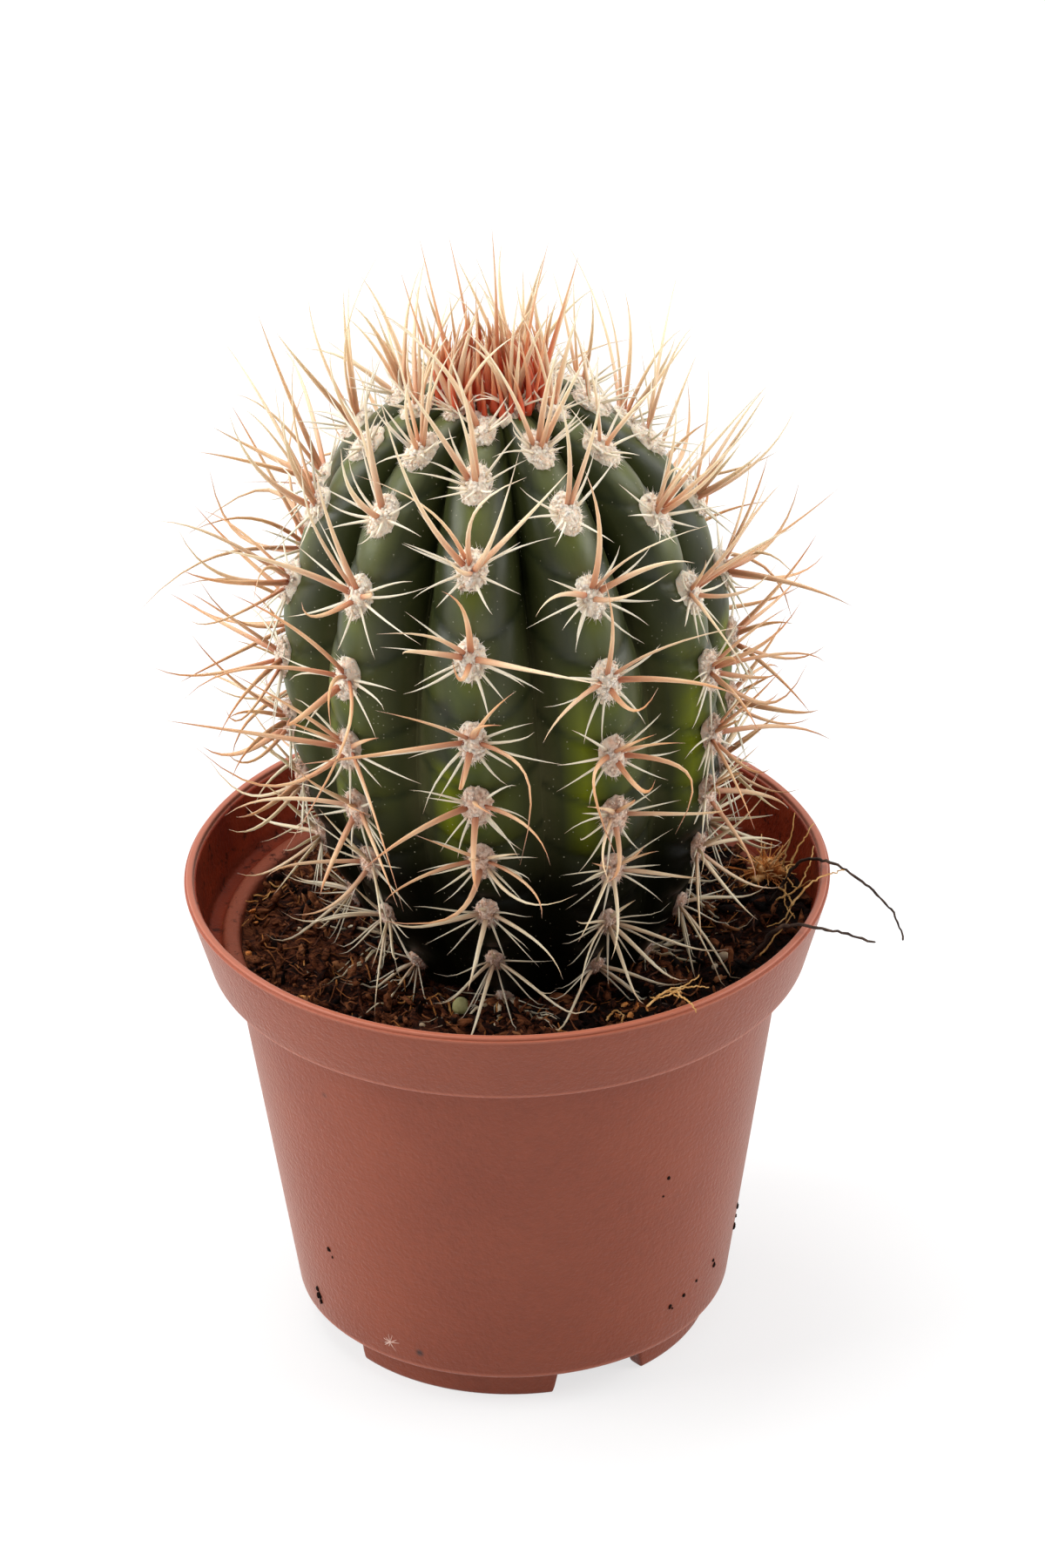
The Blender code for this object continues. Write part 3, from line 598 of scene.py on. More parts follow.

# Stem ------------------------------------------------------
# A fleshy barrel of ten ribs that grew as one piece, under a waxy skin. Each rib swells between its
# areoles and has a crease just above each one; low on the plant the thin skin is yellow-green, with a
# painted glow of light through it.
RIBS = 10
FIRST_RIB_AZIMUTH = -9.1
CREST_LINE = (
    # radius, height
    (0.0100, 0.0690), (0.0190, 0.0722), (0.0254, 0.0810), (0.0336, 0.0960), (0.0382, 0.1140),
    (0.0406, 0.1320), (0.0402, 0.1500), (0.0356, 0.1670), (0.0288, 0.1795), (0.0180, 0.1893),
    (0.0080, 0.1940), (0.0030, 0.1951),
)
STEM_FOOT = 0.0684
STEM_TOP = 0.1953
STEM_COLUMNS = 400
STEM_STEPS = 18
FURROW_DEPTHS = (
    # height, depth as a share of the crest's radius
    (0.070, 0.00), (0.090, 0.05), (0.112, 0.08), (0.134, 0.11), (0.153, 0.19), (0.168, 0.31),
    (0.180, 0.34), (0.192, 0.30),
)
RIB_ROUNDNESS = ((0.132, 0.92), (0.164, 0.60), (0.184, 0.46))
LEAN_HEIGHT = 0.1380
LEAN_SHIFT = 0.0009
LEAN_SLOPE = (-0.036, -0.028)
AREOLE_HEIGHTS = (0.1953, 0.1922, 0.1862, 0.1744, 0.1594, 0.1436, 0.1302, 0.1176, 0.1049, 0.0918, 0.0790)
AREOLE_SHIFTS = (0.0, 0.4, 0.9, 0.45, 0.0, 0.5, 0.0, 0.5, 0.08, 0.57)
SWELLING = 0.0017
SWELLING_SQUARENESS = 0.55
SWELLING_MEAN = 0.6
SWELLING_FOOT = (0.078, 0.02)
SWELLING_CROWN = (0.199, -0.035)
CREASE_ABOVE = 0.19
CREASE_CLIMB = 0.35
CREASE_WIDTH = 0.07
LOWEST_CREASE = 0.09
BELOW_PAD = ((0.28, 0.12), (0.75, -0.30))
UP = np.array([0.0, 0.0, 1.0])


def smooth_line(points, steps):
    """A Catmull-Rom curve through the points, with this many steps on each span."""
    line = np.array(points)
    padded = np.concatenate([[2 * line[0] - line[1]], line, [2 * line[-1] - line[-2]]])
    a, b, c, d = (padded[i : len(padded) - 3 + i, None] for i in range(4))
    t = (np.arange(steps) / steps)[None, :, None]
    curve = 0.5 * (2 * b + (c - a) * t + (2 * a - 5 * b + 4 * c - d) * t**2 + (3 * b - a - 3 * c + d) * t**3)
    return np.concatenate([curve.reshape(-1, line.shape[1]), line[-1:]])


CREST = smooth_line(CREST_LINE, STEM_STEPS)
CREST_RUN = np.gradient(CREST, axis=0)
CREST_RUN /= np.linalg.norm(CREST_RUN, axis=1, keepdims=True)


def crest_frame(height):
    """The crest's radius, and its outward normal as (radius, height) parts, at each height."""
    radius, run_r, run_z = (np.interp(height, CREST[:, 1], part) for part in (CREST[:, 0], *CREST_RUN.T))
    length = np.hypot(run_r, run_z)
    return radius, run_z / length, -run_r / length


def crest_top(radius):
    """The crest line's height at each distance from the axis, on the crown."""
    return np.interp(-radius, -CREST[:, 0], CREST[:, 1])


def stem_axis(height):
    """The stem's middle at each height: it leans a little to the left and to the front."""
    rise = np.asarray(height) - LEAN_HEIGHT
    return np.stack([LEAN_SHIFT + LEAN_SLOPE[0] * rise, LEAN_SLOPE[1] * rise, np.asarray(height)], -1)


def crease_phase(height, shift, beside):
    """Where a height lies between a rib's creases: a whole number at each crease, growing downwards. Each
    crease runs just above an areole and climbs towards the furrows by the square of beside."""
    steps = np.interp(-np.asarray(height), -np.array(AREOLE_HEIGHTS), np.arange(len(AREOLE_HEIGHTS)))
    return steps - shift + CREASE_ABOVE + CREASE_CLIMB * beside**2


def swelling(height, shift, beside=0.0):
    """How far the rib stands proud: half a sine between the creases, to a power below one, so that it is
    steep beside each crease. It fades at the foot, and towards the crown where areoles crowd."""
    size = SWELLING * smooth_step(height, *SWELLING_FOOT) * smooth_step(height, *SWELLING_CROWN)
    wave = np.abs(np.sin(np.pi * crease_phase(height, shift, beside)))
    return size * (wave**SWELLING_SQUARENESS - SWELLING_MEAN)


def stem_surface():
    """The crest line turned about the leaning axis. Its radius shrinks towards each furrow by the furrow's
    depth times one minus the rib's section: half a sine to a power below one, which falls with height.
    That gives a round crest, flanks that stay in sight, and a sharp valley between two ribs."""
    height = CREST[:, 1]
    radius, out, up = crest_frame(height)
    column = np.arange(STEM_COLUMNS)
    azimuth = FIRST_RIB_AZIMUTH + (column / STEM_COLUMNS - 0.5 / RIBS) * 360.0
    share = (column * RIBS / STEM_COLUMNS) % 1.0
    beside = np.abs(2.0 * share - 1.0)
    section = np.sin(np.pi * share)[None] ** np.interp(height, *np.array(RIB_ROUNDNESS).T)[:, None]
    depth = np.interp(height, *np.array(FURROW_DEPTHS).T)
    reach = radius[:, None] * (1.0 - depth[:, None] * (1.0 - section))
    shift = np.array(AREOLE_SHIFTS)[column * RIBS // STEM_COLUMNS]
    swell = swelling(height[:, None], shift[None], beside[None]) * section
    points = outward(azimuth)[None] * (reach + swell * out[:, None])[..., None] + stem_axis(height)[:, None]
    points[..., 2] += swell * up[:, None]
    phase = crease_phase(height[:, None], shift[None], beside[None]) % 1.0
    crease = np.exp(-((np.minimum(phase, 1 - phase) / CREASE_WIDTH) ** 2)) * (height[:, None] > LOWEST_CREASE)
    below_pad = smooth_step(phase, *BELOW_PAD[0]) * smooth_step(phase, *BELOW_PAD[1])
    marks = {
        name: np.append(np.broadcast_to(values, crease.shape), poles)
        for name, values, poles in (
            ("crest", 1.0 - beside, (0, 1)), ("crease", crease, (0, 0)), ("below_pad", below_pad, (0, 0)),
            ("side", share, (0.5, 0.5)),
        )
    }
    return np.concatenate([points.reshape(-1, 3), stem_axis([STEM_FOOT, STEM_TOP])]), marks


def waxy_skin():
    """Cactus skin: tough epidermis under a thin wax bloom, dark green with a soft semi-gloss. Painted shade
    darkens it from the crests down the flanks to nearly black in the furrows, in the creases and at the foot;
    a painted grey sheen runs down the right of each crest, and low down a painted yellow-green glow stands
    for light through thin flesh."""
    material, add, shader = new_material("waxy_cactus_skin")
    place = add("TexCoord", out="Object")
    level = add("SeparateXYZ", (place,), "Z")
    crest, crease, below, side = (
        add("Attribute", out="Fac", attribute_name=mark) for mark in ("crest", "crease", "below_pad", "side")
    )
    cloud = add("TexNoise", (place, 80.0, 5.0, 0.65))
    waved = add("Math", (cloud, 0.34, crest), operation="MULTIPLY_ADD")
    # Top: this season's skin is greener right into the furrows.
    fresh = add("MapRange", (level, 0.172, 0.188, 0.0, 0.14))
    waved = add("Math", (waved, fresh), operation="ADD")
    # Painted shade: from the crest down the flanks the colour darkens, to nearly black in the furrows.
    stops = ((0.14, "#070903"), (0.26, "#282C16"), (0.42, "#33371E"), (0.70, "#2A2F15"), (1.0, "#4E542B"))
    colour = add("ValToRGB", (waved,), stops=stops)
    # Lower half: the furrows are shallow there, and their skin is a paler grey-green, palest in the furrows,
    # where painted light lifts the shade.
    shallow = add("MapRange", (level, 0.170, 0.146), **SOFT)
    stops = ((0.10, "#4A4830"), (0.40, "#383A22"), (0.80, "#272B14"), (1.0, "#3F4822"))
    lower_skin_painted_light = add("ValToRGB", (waved,), stops=stops)
    # Painted sheen: a soft grey stripe down the right of each crest, a painted reflection of the light from
    # the right.
    stops = ((0.52, "#000000"), (0.60, "#7C7C7C"), (0.70, "#606060"), (0.84, "#000000"))
    painted_sheen = add("ValToRGB", (side,), stops=stops)
    painted_sheen = add("Math", (painted_sheen, cloud), operation="MULTIPLY")
    # Painted glow: broad soft patches beside the crest in the lower half, fullest on the left of each rib
    # where the left light falls, and a small one under each pad. It paints light through thin flesh as
    # colour, on skin that is itself yellow-green there.
    broad = add("MapRange", (level, 0.160, 0.144), **SOFT)
    foot = add("MapRange", (level, 0.110, 0.123), **SOFT)
    stops = ((0.26, "#000000"), (0.58, "#FFFFFF"), (0.78, "#C0C0C0"), (0.94, "#303030"))
    flank = add("ValToRGB", (crest,), stops=stops)
    ridge = add("MapRange", (crest, 0.72, 0.96), **SOFT)
    patch = add("MapRange", (add("TexNoise", (place, 48.0, 1.0)), 0.38, 0.55), **SOFT)
    left = add("MapRange", (side, 0.62, 0.42, 0.25))
    for part in (foot, flank, patch, left):
        broad = add("Math", (broad, part), operation="MULTIPLY")
    under = below
    for part in (ridge, 0.5, foot):
        under = add("Math", (under, part), operation="MULTIPLY")
    painted_glow = add("Math", (broad, under), operation="MAXIMUM", use_clamp=True)
    # Painted shade: a dark line along each crease above the areoles.
    crease_shade = add("Math", (crease, 0.55), operation="MULTIPLY")
    # Base: painted shade, nearly black, where the stem goes into the soil.
    base_shade = add("MapRange", (level, 0.131, 0.107, 0.0, 0.95), **SOFT)
    # Dust: pale grains of about 0.2 mm that nothing brushes off.
    grain = specks(add, place, 1150.0, 0.80, 0.20, 0.08, 0.5)
    for mask, tint in (
        (shallow, lower_skin_painted_light), (painted_sheen, "#86845C"), (painted_glow, "#606803"), (crease_shade, "#181F12"), (base_shade, "#050503"),
        (grain, "#AEA991"),
    ):
        colour = add("Mix", (mask, colour, tint), data_type="RGBA")
    rough = add("MapRange", (cloud, 0.0, 1.0, 0.30, 0.46))
    gloss = add("MapRange", (crest, 0.20, 0.55, 0.0, 0.56))
    smooth = add("MapRange", (level, 0.132, 0.164, 0.22))
    pores = add("TexNoise", (place, 900.0, 2.0))
    set_inputs(shader, {
        "Base Color": colour,
        "IOR": 1.40,
        "Roughness": rough,
        "Specular IOR Level": add("Math", (gloss, smooth), operation="MULTIPLY"),
        "Normal": add("Bump", {"Height": pores, "Strength": 0.18, "Distance": 0.0002}),
    })
    return material


stem_points, stem_marks = stem_surface()
stem_faces = closed_rings(len(CREST), STEM_COLUMNS)
stem = mesh_piece("ribbed_stem", stem_points, stem_faces, waxy_skin(), **stem_marks)
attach(stem, "root")
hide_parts("cactus_stem")

# Areoles ---------------------------------------------------
# The cushions of short felted wool on the crests that the spines grow from: cream while young, near the
# crown, and smaller and grey lower down. Loose hairs stand out round their edges.
HIGHEST_AREOLE = 0.1948
FIRST_STEP = 0.25
LAST_STEP = len(AREOLE_HEIGHTS) - 0.9
VIGOUR_RISE = (0.085, 0.045)
AGE_FROM = 0.192
AGE_OVER = 0.105
PAD_HALF_LENGTH = 0.0041
PAD_HALF_WIDTH = 0.0029
PAD_HEIGHT = 0.0017
PAD_SINK = 0.0012
PAD_SADDLE = 0.0008
LOW_PAD_SCALE = 0.57
CROWN_PAD_SCALE = 0.55
CROWN_PAD_GROWTH = (0.004, 0.016)
TUFTS_PER_PAD = 54
TUFT_RADII = (0.00030, 0.00054)
HAIRS_PER_PAD = 320
HAIR_LENGTH = 0.0012
HAIR_WIDTH = 0.00007
HAIR_RISE = (0.1, 1.0)
HAIR_SCATTER = 0.35
HAIR_SADDLE = 0.0005


def areole_frames():
    """For every areole: its place on the crest, its outward normal, the way up the rib and the way to the
    right as seen from outside, its height and its distance from the axis."""
    rows = []
    for rib, shift in enumerate(AREOLE_SHIFTS):
        steps = np.arange(-1, len(AREOLE_HEIGHTS)) + shift
        height = np.interp(steps, np.arange(len(AREOLE_HEIGHTS)), AREOLE_HEIGHTS)
        in_sight = (steps > FIRST_STEP) & (steps < LAST_STEP) & (height < HIGHEST_AREOLE)
        rows += [(h, rib, shift) for h in height[in_sight]]
    height, rib, shift = np.array(rows).T
    radius, out, up = crest_frame(height)
    way = outward(FIRST_RIB_AZIMUTH + rib * 360.0 / RIBS)
    normal = way * out[:, None] + UP * up[:, None]
    upward = UP * out[:, None] - way * up[:, None]
    place = stem_axis(height) + way * radius[:, None] + normal * swelling(height, shift)[:, None]
    return place, normal, upward, np.cross(upward, normal), height, radius


AREOLE, NORMAL, UPWARD, RIGHT, AREOLE_HEIGHT, AREOLE_RADIUS = areole_frames()
AREOLES = len(AREOLE)
VIGOUR = smooth_step(AREOLE_HEIGHT, *VIGOUR_RISE)
AGE = np.clip((AGE_FROM - AREOLE_HEIGHT) / AGE_OVER, 0.0, 1.0)
PAD_SCALE = LOW_PAD_SCALE + (1 - LOW_PAD_SCALE) * VIGOUR
PAD_SCALE *= CROWN_PAD_SCALE + (1 - CROWN_PAD_SCALE) * smooth_step(AREOLE_RADIUS, *CROWN_PAD_GROWTH)


def felted_wool():
    """Felted plant wool: matt, soft and lumpy, cream to pinkish when young and mauve-grey when old, with
    small brown pits where spines come through."""
    material, add, shader = new_material("felted_areole_wool")
    place = add("TexCoord", out="Object")
    age = add("Attribute", out="Fac", attribute_name="age")
    fluff = add("TexNoise", (place, 900.0, 4.0, 0.7))
    young = add("ValToRGB", (fluff,), stops=((0.24, "#F4BC94"), (0.36, "#FFE2C8"), (0.50, "#FFEFDC")))
    old = add("ValToRGB", (fluff,), stops=((0.26, "#AC785E"), (0.40, "#D2A68C"), (0.58, "#E8CCBA")))
    ageing = add("MapRange", (age, 0.30, 0.72), **SOFT)
    colour = add("Mix", (ageing, young, old), data_type="RGBA")
    pit = specks(add, place, 560.0, 0.84, 0.32, 0.14, 0.75)
    set_inputs(shader, {
        "Base Color": add("Mix", (pit, colour, "#6B3E2A"), data_type="RGBA"),
        "Roughness": 0.95,
        "Specular IOR Level": 0.1,
        "Sheen Weight": 0.4,
        "Sheen Roughness": 0.5,
        "Sheen Tint": "#FFE8D4",
        "Subsurface Weight": 0.5,
        "Subsurface Radius": (1.0, 0.75, 0.6),
        "Subsurface Scale": 0.0008,
        "Normal": add("Bump", {"Height": fluff, "Strength": 0.6, "Distance": 0.0005}),
    })
    return material


def unit(vectors):
    """Each vector divided by its own length."""
    return vectors / np.linalg.norm(vectors, axis=-1, keepdims=True)


def wool_pads(rng):
    """Lumpy ellipsoids, as wide and long as each areole; a pad's sides are drawn down by a parabola, so
    that it saddles the crest, and its lower half is flattened into the skin."""
    axes = np.stack([RIGHT, UPWARD, NORMAL], 1)
    radii = PAD_SCALE[:, None] * np.array([PAD_HALF_WIDTH, PAD_HALF_LENGTH, PAD_HEIGHT])
    points, faces = lumps(AREOLE, axes, radii, rings=9, columns=20, roughness=0.11, rng=rng)
    side, rise = (np.einsum("npc,nc->np", points - AREOLE[:, None], way) for way in (RIGHT, NORMAL))
    flattened = np.where(rise < 0, -rise * (1 - PAD_SINK / PAD_HEIGHT), 0)
    sink = PAD_SADDLE * (side / PAD_HALF_WIDTH) ** 2 + flattened
    return points - sink[..., None] * NORMAL[:, None], faces


def over_pads(per_pad, innermost, rng):
    """Random places over every pad: the pad's number, the way from the pad's middle along the skin, how
    far aside that is and how far in all, as shares of the pad."""
    pick = np.repeat(np.arange(AREOLES), per_pad)
    turn, spread = rng.uniform(0, 2 * np.pi, len(pick)), np.sqrt(rng.uniform(innermost, 1.0, len(pick)))
    aside, along = np.cos(turn) * spread, np.sin(turn) * spread
    flat = RIGHT[pick] * aside[:, None] * PAD_HALF_WIDTH + UPWARD[pick] * along[:, None] * PAD_HALF_LENGTH
    return pick, flat, aside, spread


def wool_tufts(rng):
    """Small lumps of wool over each pad: directions spread over the pad's upper half, each lump half sunk
    into the pad there."""
    pick, flat, aside, spread = over_pads(TUFTS_PER_PAD, 0.0, rng)
    rise = PAD_HEIGHT * np.sqrt(1.04 - spread**2) - PAD_SADDLE * aside**2 - 0.0001
    centres = AREOLE[pick] + (flat + rise[:, None] * NORMAL[pick]) * PAD_SCALE[pick, None]
    radii = rng.uniform(*TUFT_RADII, (len(pick), 3)) * PAD_SCALE[pick, None]
    axes = random_axes(len(pick), rng)
    return *lumps(centres, axes, radii, rings=3, columns=6, roughness=0.10, rng=rng), pick


def wool_hairs(rng):
    """Three-sided needles, all at once: a small triangle on the pad's edge or top, and a tip one hair's
    length away, outwards and a little to the side."""
    pick, flat, aside, spread = over_pads(HAIRS_PER_PAD, 0.05, rng)
    lift = (PAD_HEIGHT * np.sqrt(1.02 - spread**2) - HAIR_SADDLE * aside**2)[:, None] * NORMAL[pick]
    root = AREOLE[pick] + (flat + lift) * PAD_SCALE[pick, None]
    rising = NORMAL[pick] * rng.uniform(*HAIR_RISE, (len(pick), 1))
    heading = unit(unit(flat) * (0.3 + spread)[:, None] + rising)
    heading = unit(heading + HAIR_SCATTER * rng.normal(size=(len(pick), 3)))
    side = unit(np.cross(heading, NORMAL[pick]))
    other = np.cross(heading, side)
    corner = 2 * np.pi * np.arange(3)[:, None] / 3
    base = root[:, None] + HAIR_WIDTH * (side[:, None] * np.cos(corner) + other[:, None] * np.sin(corner))
    length = HAIR_LENGTH * PAD_SCALE[pick] * rng.uniform(0.4, 1.0, len(pick)) ** 1.5 * (0.7 + spread**4)
    needle = np.array([[1, 0, 2], [0, 1, 3], [1, 2, 3], [2, 0, 3]])
    points = np.concatenate([base, (root + heading * length[:, None])[:, None]], 1)
    return points, like_shapes(len(pick), 4, [needle]), pick


wool_rng = np.random.default_rng(23)
wool_material = felted_wool()
pads = mesh_piece("wool_pads", *wool_pads(wool_rng), wool_material, age=AGE)
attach(pads, "root")
tuft_points, tuft_faces, tuft_pick = wool_tufts(wool_rng)
tufts = mesh_piece("wool_tufts", tuft_points, tuft_faces, wool_material, age=AGE[tuft_pick])
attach(tufts, "root")
hair_points, hair_faces, hair_pick = wool_hairs(wool_rng)
hairs = mesh_piece("wool_hairs", hair_points, hair_faces, wool_material, age=AGE[hair_pick])
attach(hairs, "root")

# Spines ----------------------------------------------------
# Hard, horny needles that grew out of the areoles: up to seven stout, flattened and hooked central ones,
# and about ten thin, straight, white radial ones that lie out flat round the pad. At four heights, each
# kind has a stance: its direction in degrees clockwise from the way up the rib, its tilt from the normal,
# its length in mm, and how far it bends up the rib and to the right, as shares of its length.
STANCE_HEIGHTS = (0.086, 0.110, 0.150, 0.182)
CENTRALS = (
    # width in mm, share of areoles that have it, then the stances from the foot to the crown
    (1.32, 1.00, (0, 46, 9, 0.00, 0.00), (0, 50, 14, 0.05, 0.05), (0, 42, 23, 0.04, 0.00),
     (4, 30, 25, 0.06, 0.02)),
    (1.18, 0.95, (-96, 50, 20, -0.50, 0.10), (-86, 58, 21, -0.10, 0.08), (-80, 50, 26, -0.20, 0.06),
     (-62, 40, 25, 0.04, -0.06)),
    (1.18, 0.95, (96, 50, 20, -0.50, -0.10), (88, 58, 21, -0.10, -0.08), (80, 50, 26, -0.20, -0.06),
     (62, 40, 25, 0.04, 0.06)),
    (1.28, 0.95, (182, 30, 20, -0.50, 0.12), (192, 36, 17, 0.14, -0.20), (188, 24, 21, 0.30, 0.14),
     (170, 12, 20, 0.12, 0.04)),
    (1.00, 0.80, (-122, 46, 18, -0.50, 0.06), (-30, 60, 12, 0.05, -0.10), (-32, 50, 18, -0.10, -0.30),
     (-30, 38, 21, 0.08, -0.06)),
    (1.00, 0.85, (122, 46, 18, -0.50, -0.06), (30, 60, 12, 0.05, 0.10), (32, 50, 18, -0.10, 0.30),
     (30, 38, 21, 0.08, 0.06)),
    (1.10, 0.45, (150, 40, 19, -0.50, 0.10), (140, 46, 18, 0.24, 0.14), (120, 44, 19, 0.34, 0.05),
     (100, 26, 20, 0.12, 0.06)),
)
RADIALS = tuple(
    (0.62, 0.86, (side * low, 62, low_length, -0.34, 0.0), (side * turn, 76, length * 0.9, -0.03, 0.0),
     (side * turn, 78, length, -0.02, 0.0), (side * turn, 70, length * 0.9, 0.0, 0.0))
    for side in (-1, 1)
    for low, low_length, turn, length in ((80, 12.0, 57, 12.5), (104, 14.0, 83, 13.0), (128, 15.0, 103, 12.5),
                                          (152, 15.0, 128, 11.5), (172, 13.0, 157, 10.0))
)
STANCE_SCATTER = (8.0, 6.0, 0.0, 0.10, 0.10)
# Rings along each spine, and sides round it.
CENTRAL_GRID = (11, 6)
RADIAL_GRID = (7, 4)
ROOT_SPREAD = 0.42
ROOT_LIFT = 0.0004
FEWER_AT_FOOT = 0.25
CROWN_SIZE = 0.72
SOIL_NEAR = 0.12
CLAW = 2.2
CURL_UP = 1.5
UPTURN = 0.26
LEFT_REACH = 0.24
LENGTH_SCATTER = (0.80, 1.12)
WIDTH_SCATTER = (0.9, 1.1)
LOW_SPINE_WIDTH = 0.62
BASE_BEND = 0.4
TIP_BLUNTNESS = 1.03
TAPER = 1.8
# Where each change starts, and over what span: by height, out from the axis, to the left, and by slope.
FEWER_ON_TOP = (0.174, 0.012)
FOOT_THINNING = (0.100, -0.012)
NEAR_FOOT = (0.116, -0.02)
PULLED_UPRIGHT = (0.158, 0.034)
CROWN_GROWTH = (0.004, 0.02)
LEFTMOST = ((0.018, 0.014), (0.112, 0.02))
LEVEL_ENOUGH = (0.35, 0.3)
CENTRAL_HORN = (
    ((0.0, "#B4623F"), (0.13, "#D09E7A"), (0.40, "#E6C6A4"), (0.85, "#F0DAB8"), (1.0, "#C8966A")),
    ((0.0, "#9C5030"), (0.20, "#C48E68"), (0.50, "#DEB68E"), (0.78, "#CC9468"), (1.0, "#86422C")),
    ((0.0, "#A08068"), (0.25, "#D2BC9C"), (0.60, "#DECEB0"), (0.9, "#CEAC84"), (1.0, "#986040")),
)
RADIAL_HORN = (
    ((0.0, "#D2B896"), (0.25, "#F2E4CC"), (0.8, "#EEDDC0"), (1.0, "#D8BA90")),
    ((0.0, "#CAAE90"), (0.25, "#EEDFC6"), (0.8, "#EAD8BA"), (1.0, "#C89A70")),
    ((0.0, "#A48A72"), (0.25, "#D8C8AC"), (0.8, "#D6C4A4"), (1.0, "#B49874")),
)


def tubes(paths, widths, across, sides, flatness=1.0):
    """Closed tapering tubes along many centre lines at once. Each ring is an ellipse square to the line:
    its half width lies across, and flatness times that the other way. paths (n, rings, 3)."""
    count, rings = paths.shape[:2]
    run = unit(np.gradient(paths, axis=1))
    across = np.reshape(across, (-1, 1, 3))
    side = unit(across - np.sum(across * run, -1, keepdims=True) * run)
    other = np.cross(run, side)
    angle = 2 * np.pi * np.arange(sides) / sides
    ring = side[:, :, None] * (widths[..., None] * np.cos(angle))[..., None]
    ring = ring + other[:, :, None] * ((widths * flatness)[..., None] * np.sin(angle))[..., None]
    body = (paths[:, :, None] + ring).reshape(count, -1, 3)
    ends = np.stack([paths[:, 0], paths[:, -1] + run[:, -1] * widths[:, -1:] * 1.5], 1)
    return np.concatenate([body, ends], 1), like_shapes(count, rings * sides + 2, closed_rings(rings, sides))


def bent_lines(roots, headings, bends, lengths, rings, hook=0.0, upturn=0.0):
    """Centre lines that start along the heading and bend more and more: root plus length times (share
    times heading, plus share squared times bend, plus hook times share to the fifth times bend, plus
    upturn times share to the fourth, straight up)."""
    t = np.linspace(0.0, 1.0, rings)[None, :, None]
    path = t * headings[:, None] + (t**2 + np.reshape(hook, (-1, 1, 1)) * t**5) * bends[:, None]
    path = path + np.reshape(upturn, (-1, 1, 1)) * t**4 * UP
    return roots[:, None] + lengths[:, None, None] * path


def along_marks(count, rings, sides):
    """How far along its spine each point is, from 0 at the base to 1 at the tip."""
    along = np.append(np.repeat(np.linspace(0.0, 1.0, rings), sides), [0.0, 1.0])
    return np.tile(along, (count, 1))


def spine_set(kinds, rings, sides, rng, flatness, pull, claw, fewer_on_top):
    """All spines of some kinds: points, faces and marks. Each areole takes every kind's stance at its own
    height, with a scatter, and fewer of them at the top and the foot. A heading is the normal tilted
    towards its direction round the pad; the normal turns level towards the foot, and towards the crown
    the heading is pulled upright. claw hooks a few tips, and near the foot tips curl up against the bend.
    Level spines turn up at the tip, the leftmost are longer, and none goes under the soil. The half width
    narrows as TIP_BLUNTNESS minus share to the power TAPER."""
    count = len(kinds) * AREOLES
    kind, pick = np.divmod(np.arange(count), AREOLES)
    table = np.array([row[2:] for row in kinds], float)
    stance = np.array([
        [np.interp(AREOLE_HEIGHT, STANCE_HEIGHTS, stances[:, part]) for stances in table] for part in range(5)
    ])
    scatter = np.array(STANCE_SCATTER)[:, None] * rng.normal(size=(5, count))
    turn, tilt, length, lift, sway = stance.reshape(5, count) + scatter
    high, normal, aside = AREOLE_HEIGHT[pick], NORMAL[pick], RIGHT[pick]
    width, share = np.array([row[:2] for row in kinds])[kind].T
    share = share - fewer_on_top * smooth_step(high, *FEWER_ON_TOP)
    share = share - FEWER_AT_FOOT * smooth_step(high, *FOOT_THINNING)
    keep = rng.uniform(size=count) < share
    near_foot = smooth_step(high, *NEAR_FOOT)
    root = AREOLE[pick] + normal * ROOT_LIFT
    level = unit(normal * (1.0, 1.0, 0.0))
    normal = unit(normal + (level - normal) * near_foot[:, None])
    upward = unit(np.cross(normal, aside))
    turn, tilt = np.radians(turn)[:, None], np.radians(tilt)[:, None]
    lie = upward * np.cos(turn) + aside * np.sin(turn)
    root = root + lie * np.sin(tilt) * ROOT_SPREAD * PAD_HALF_WIDTH * PAD_SCALE[pick, None]
    upright = pull * smooth_step(high, *PULLED_UPRIGHT)
    heading = unit(normal * np.cos(tilt) + lie * np.sin(tilt) + upright[:, None] * UP)
    size = 0.001 * length * rng.uniform(*LENGTH_SCATTER, count)
    size = size * (CROWN_SIZE + (1 - CROWN_SIZE) * smooth_step(AREOLE_RADIUS[pick], *CROWN_GROWTH))
    leftmost = smooth_step(-AREOLE[pick, 0], *LEFTMOST[0]) * smooth_step(high, *LEFTMOST[1])
    size = size * (1.0 + LEFT_REACH * leftmost)
    bend = upward * lift[:, None] + aside * sway[:, None]
    hook = BASE_BEND + claw * rng.uniform(0.0, 1.0, count) ** 5 - CURL_UP * near_foot
    sideways = np.abs(heading[:, 0]) * (1.0 - smooth_step(heading[:, 2], *LEVEL_ENOUGH))
    upturn = UPTURN * sideways * rng.uniform(-0.1, 1.0, count) * (claw > 0.0)
    paths = bent_lines(root, heading, bend, size, rings, hook, upturn)[keep]
    on_soil = np.maximum(paths[..., 2], soil_height(paths) + ROOT_LIFT)
    paths[..., 2] = np.where(high[keep, None] < SOIL_NEAR, on_soil, paths[..., 2])
    wide = 0.0005 * width * (LOW_SPINE_WIDTH + (1 - LOW_SPINE_WIDTH) * VIGOUR[pick])
    wide = wide * rng.uniform(*WIDTH_SCATTER, count)
    taper = wide[keep, None] * (TIP_BLUNTNESS - np.linspace(0.0, 1.0, rings) ** TAPER)
    across = unit(np.cross(normal, heading) + 0.2 * rng.normal(size=heading.shape))[keep]
    points, faces = tubes(paths, taper, across, sides, flatness)
    return points, faces, {
        "along": along_marks(len(points), rings, sides), "age": AGE[pick[keep]],
        "tint": rng.uniform(0.0, 1.0, len(points)),
    }


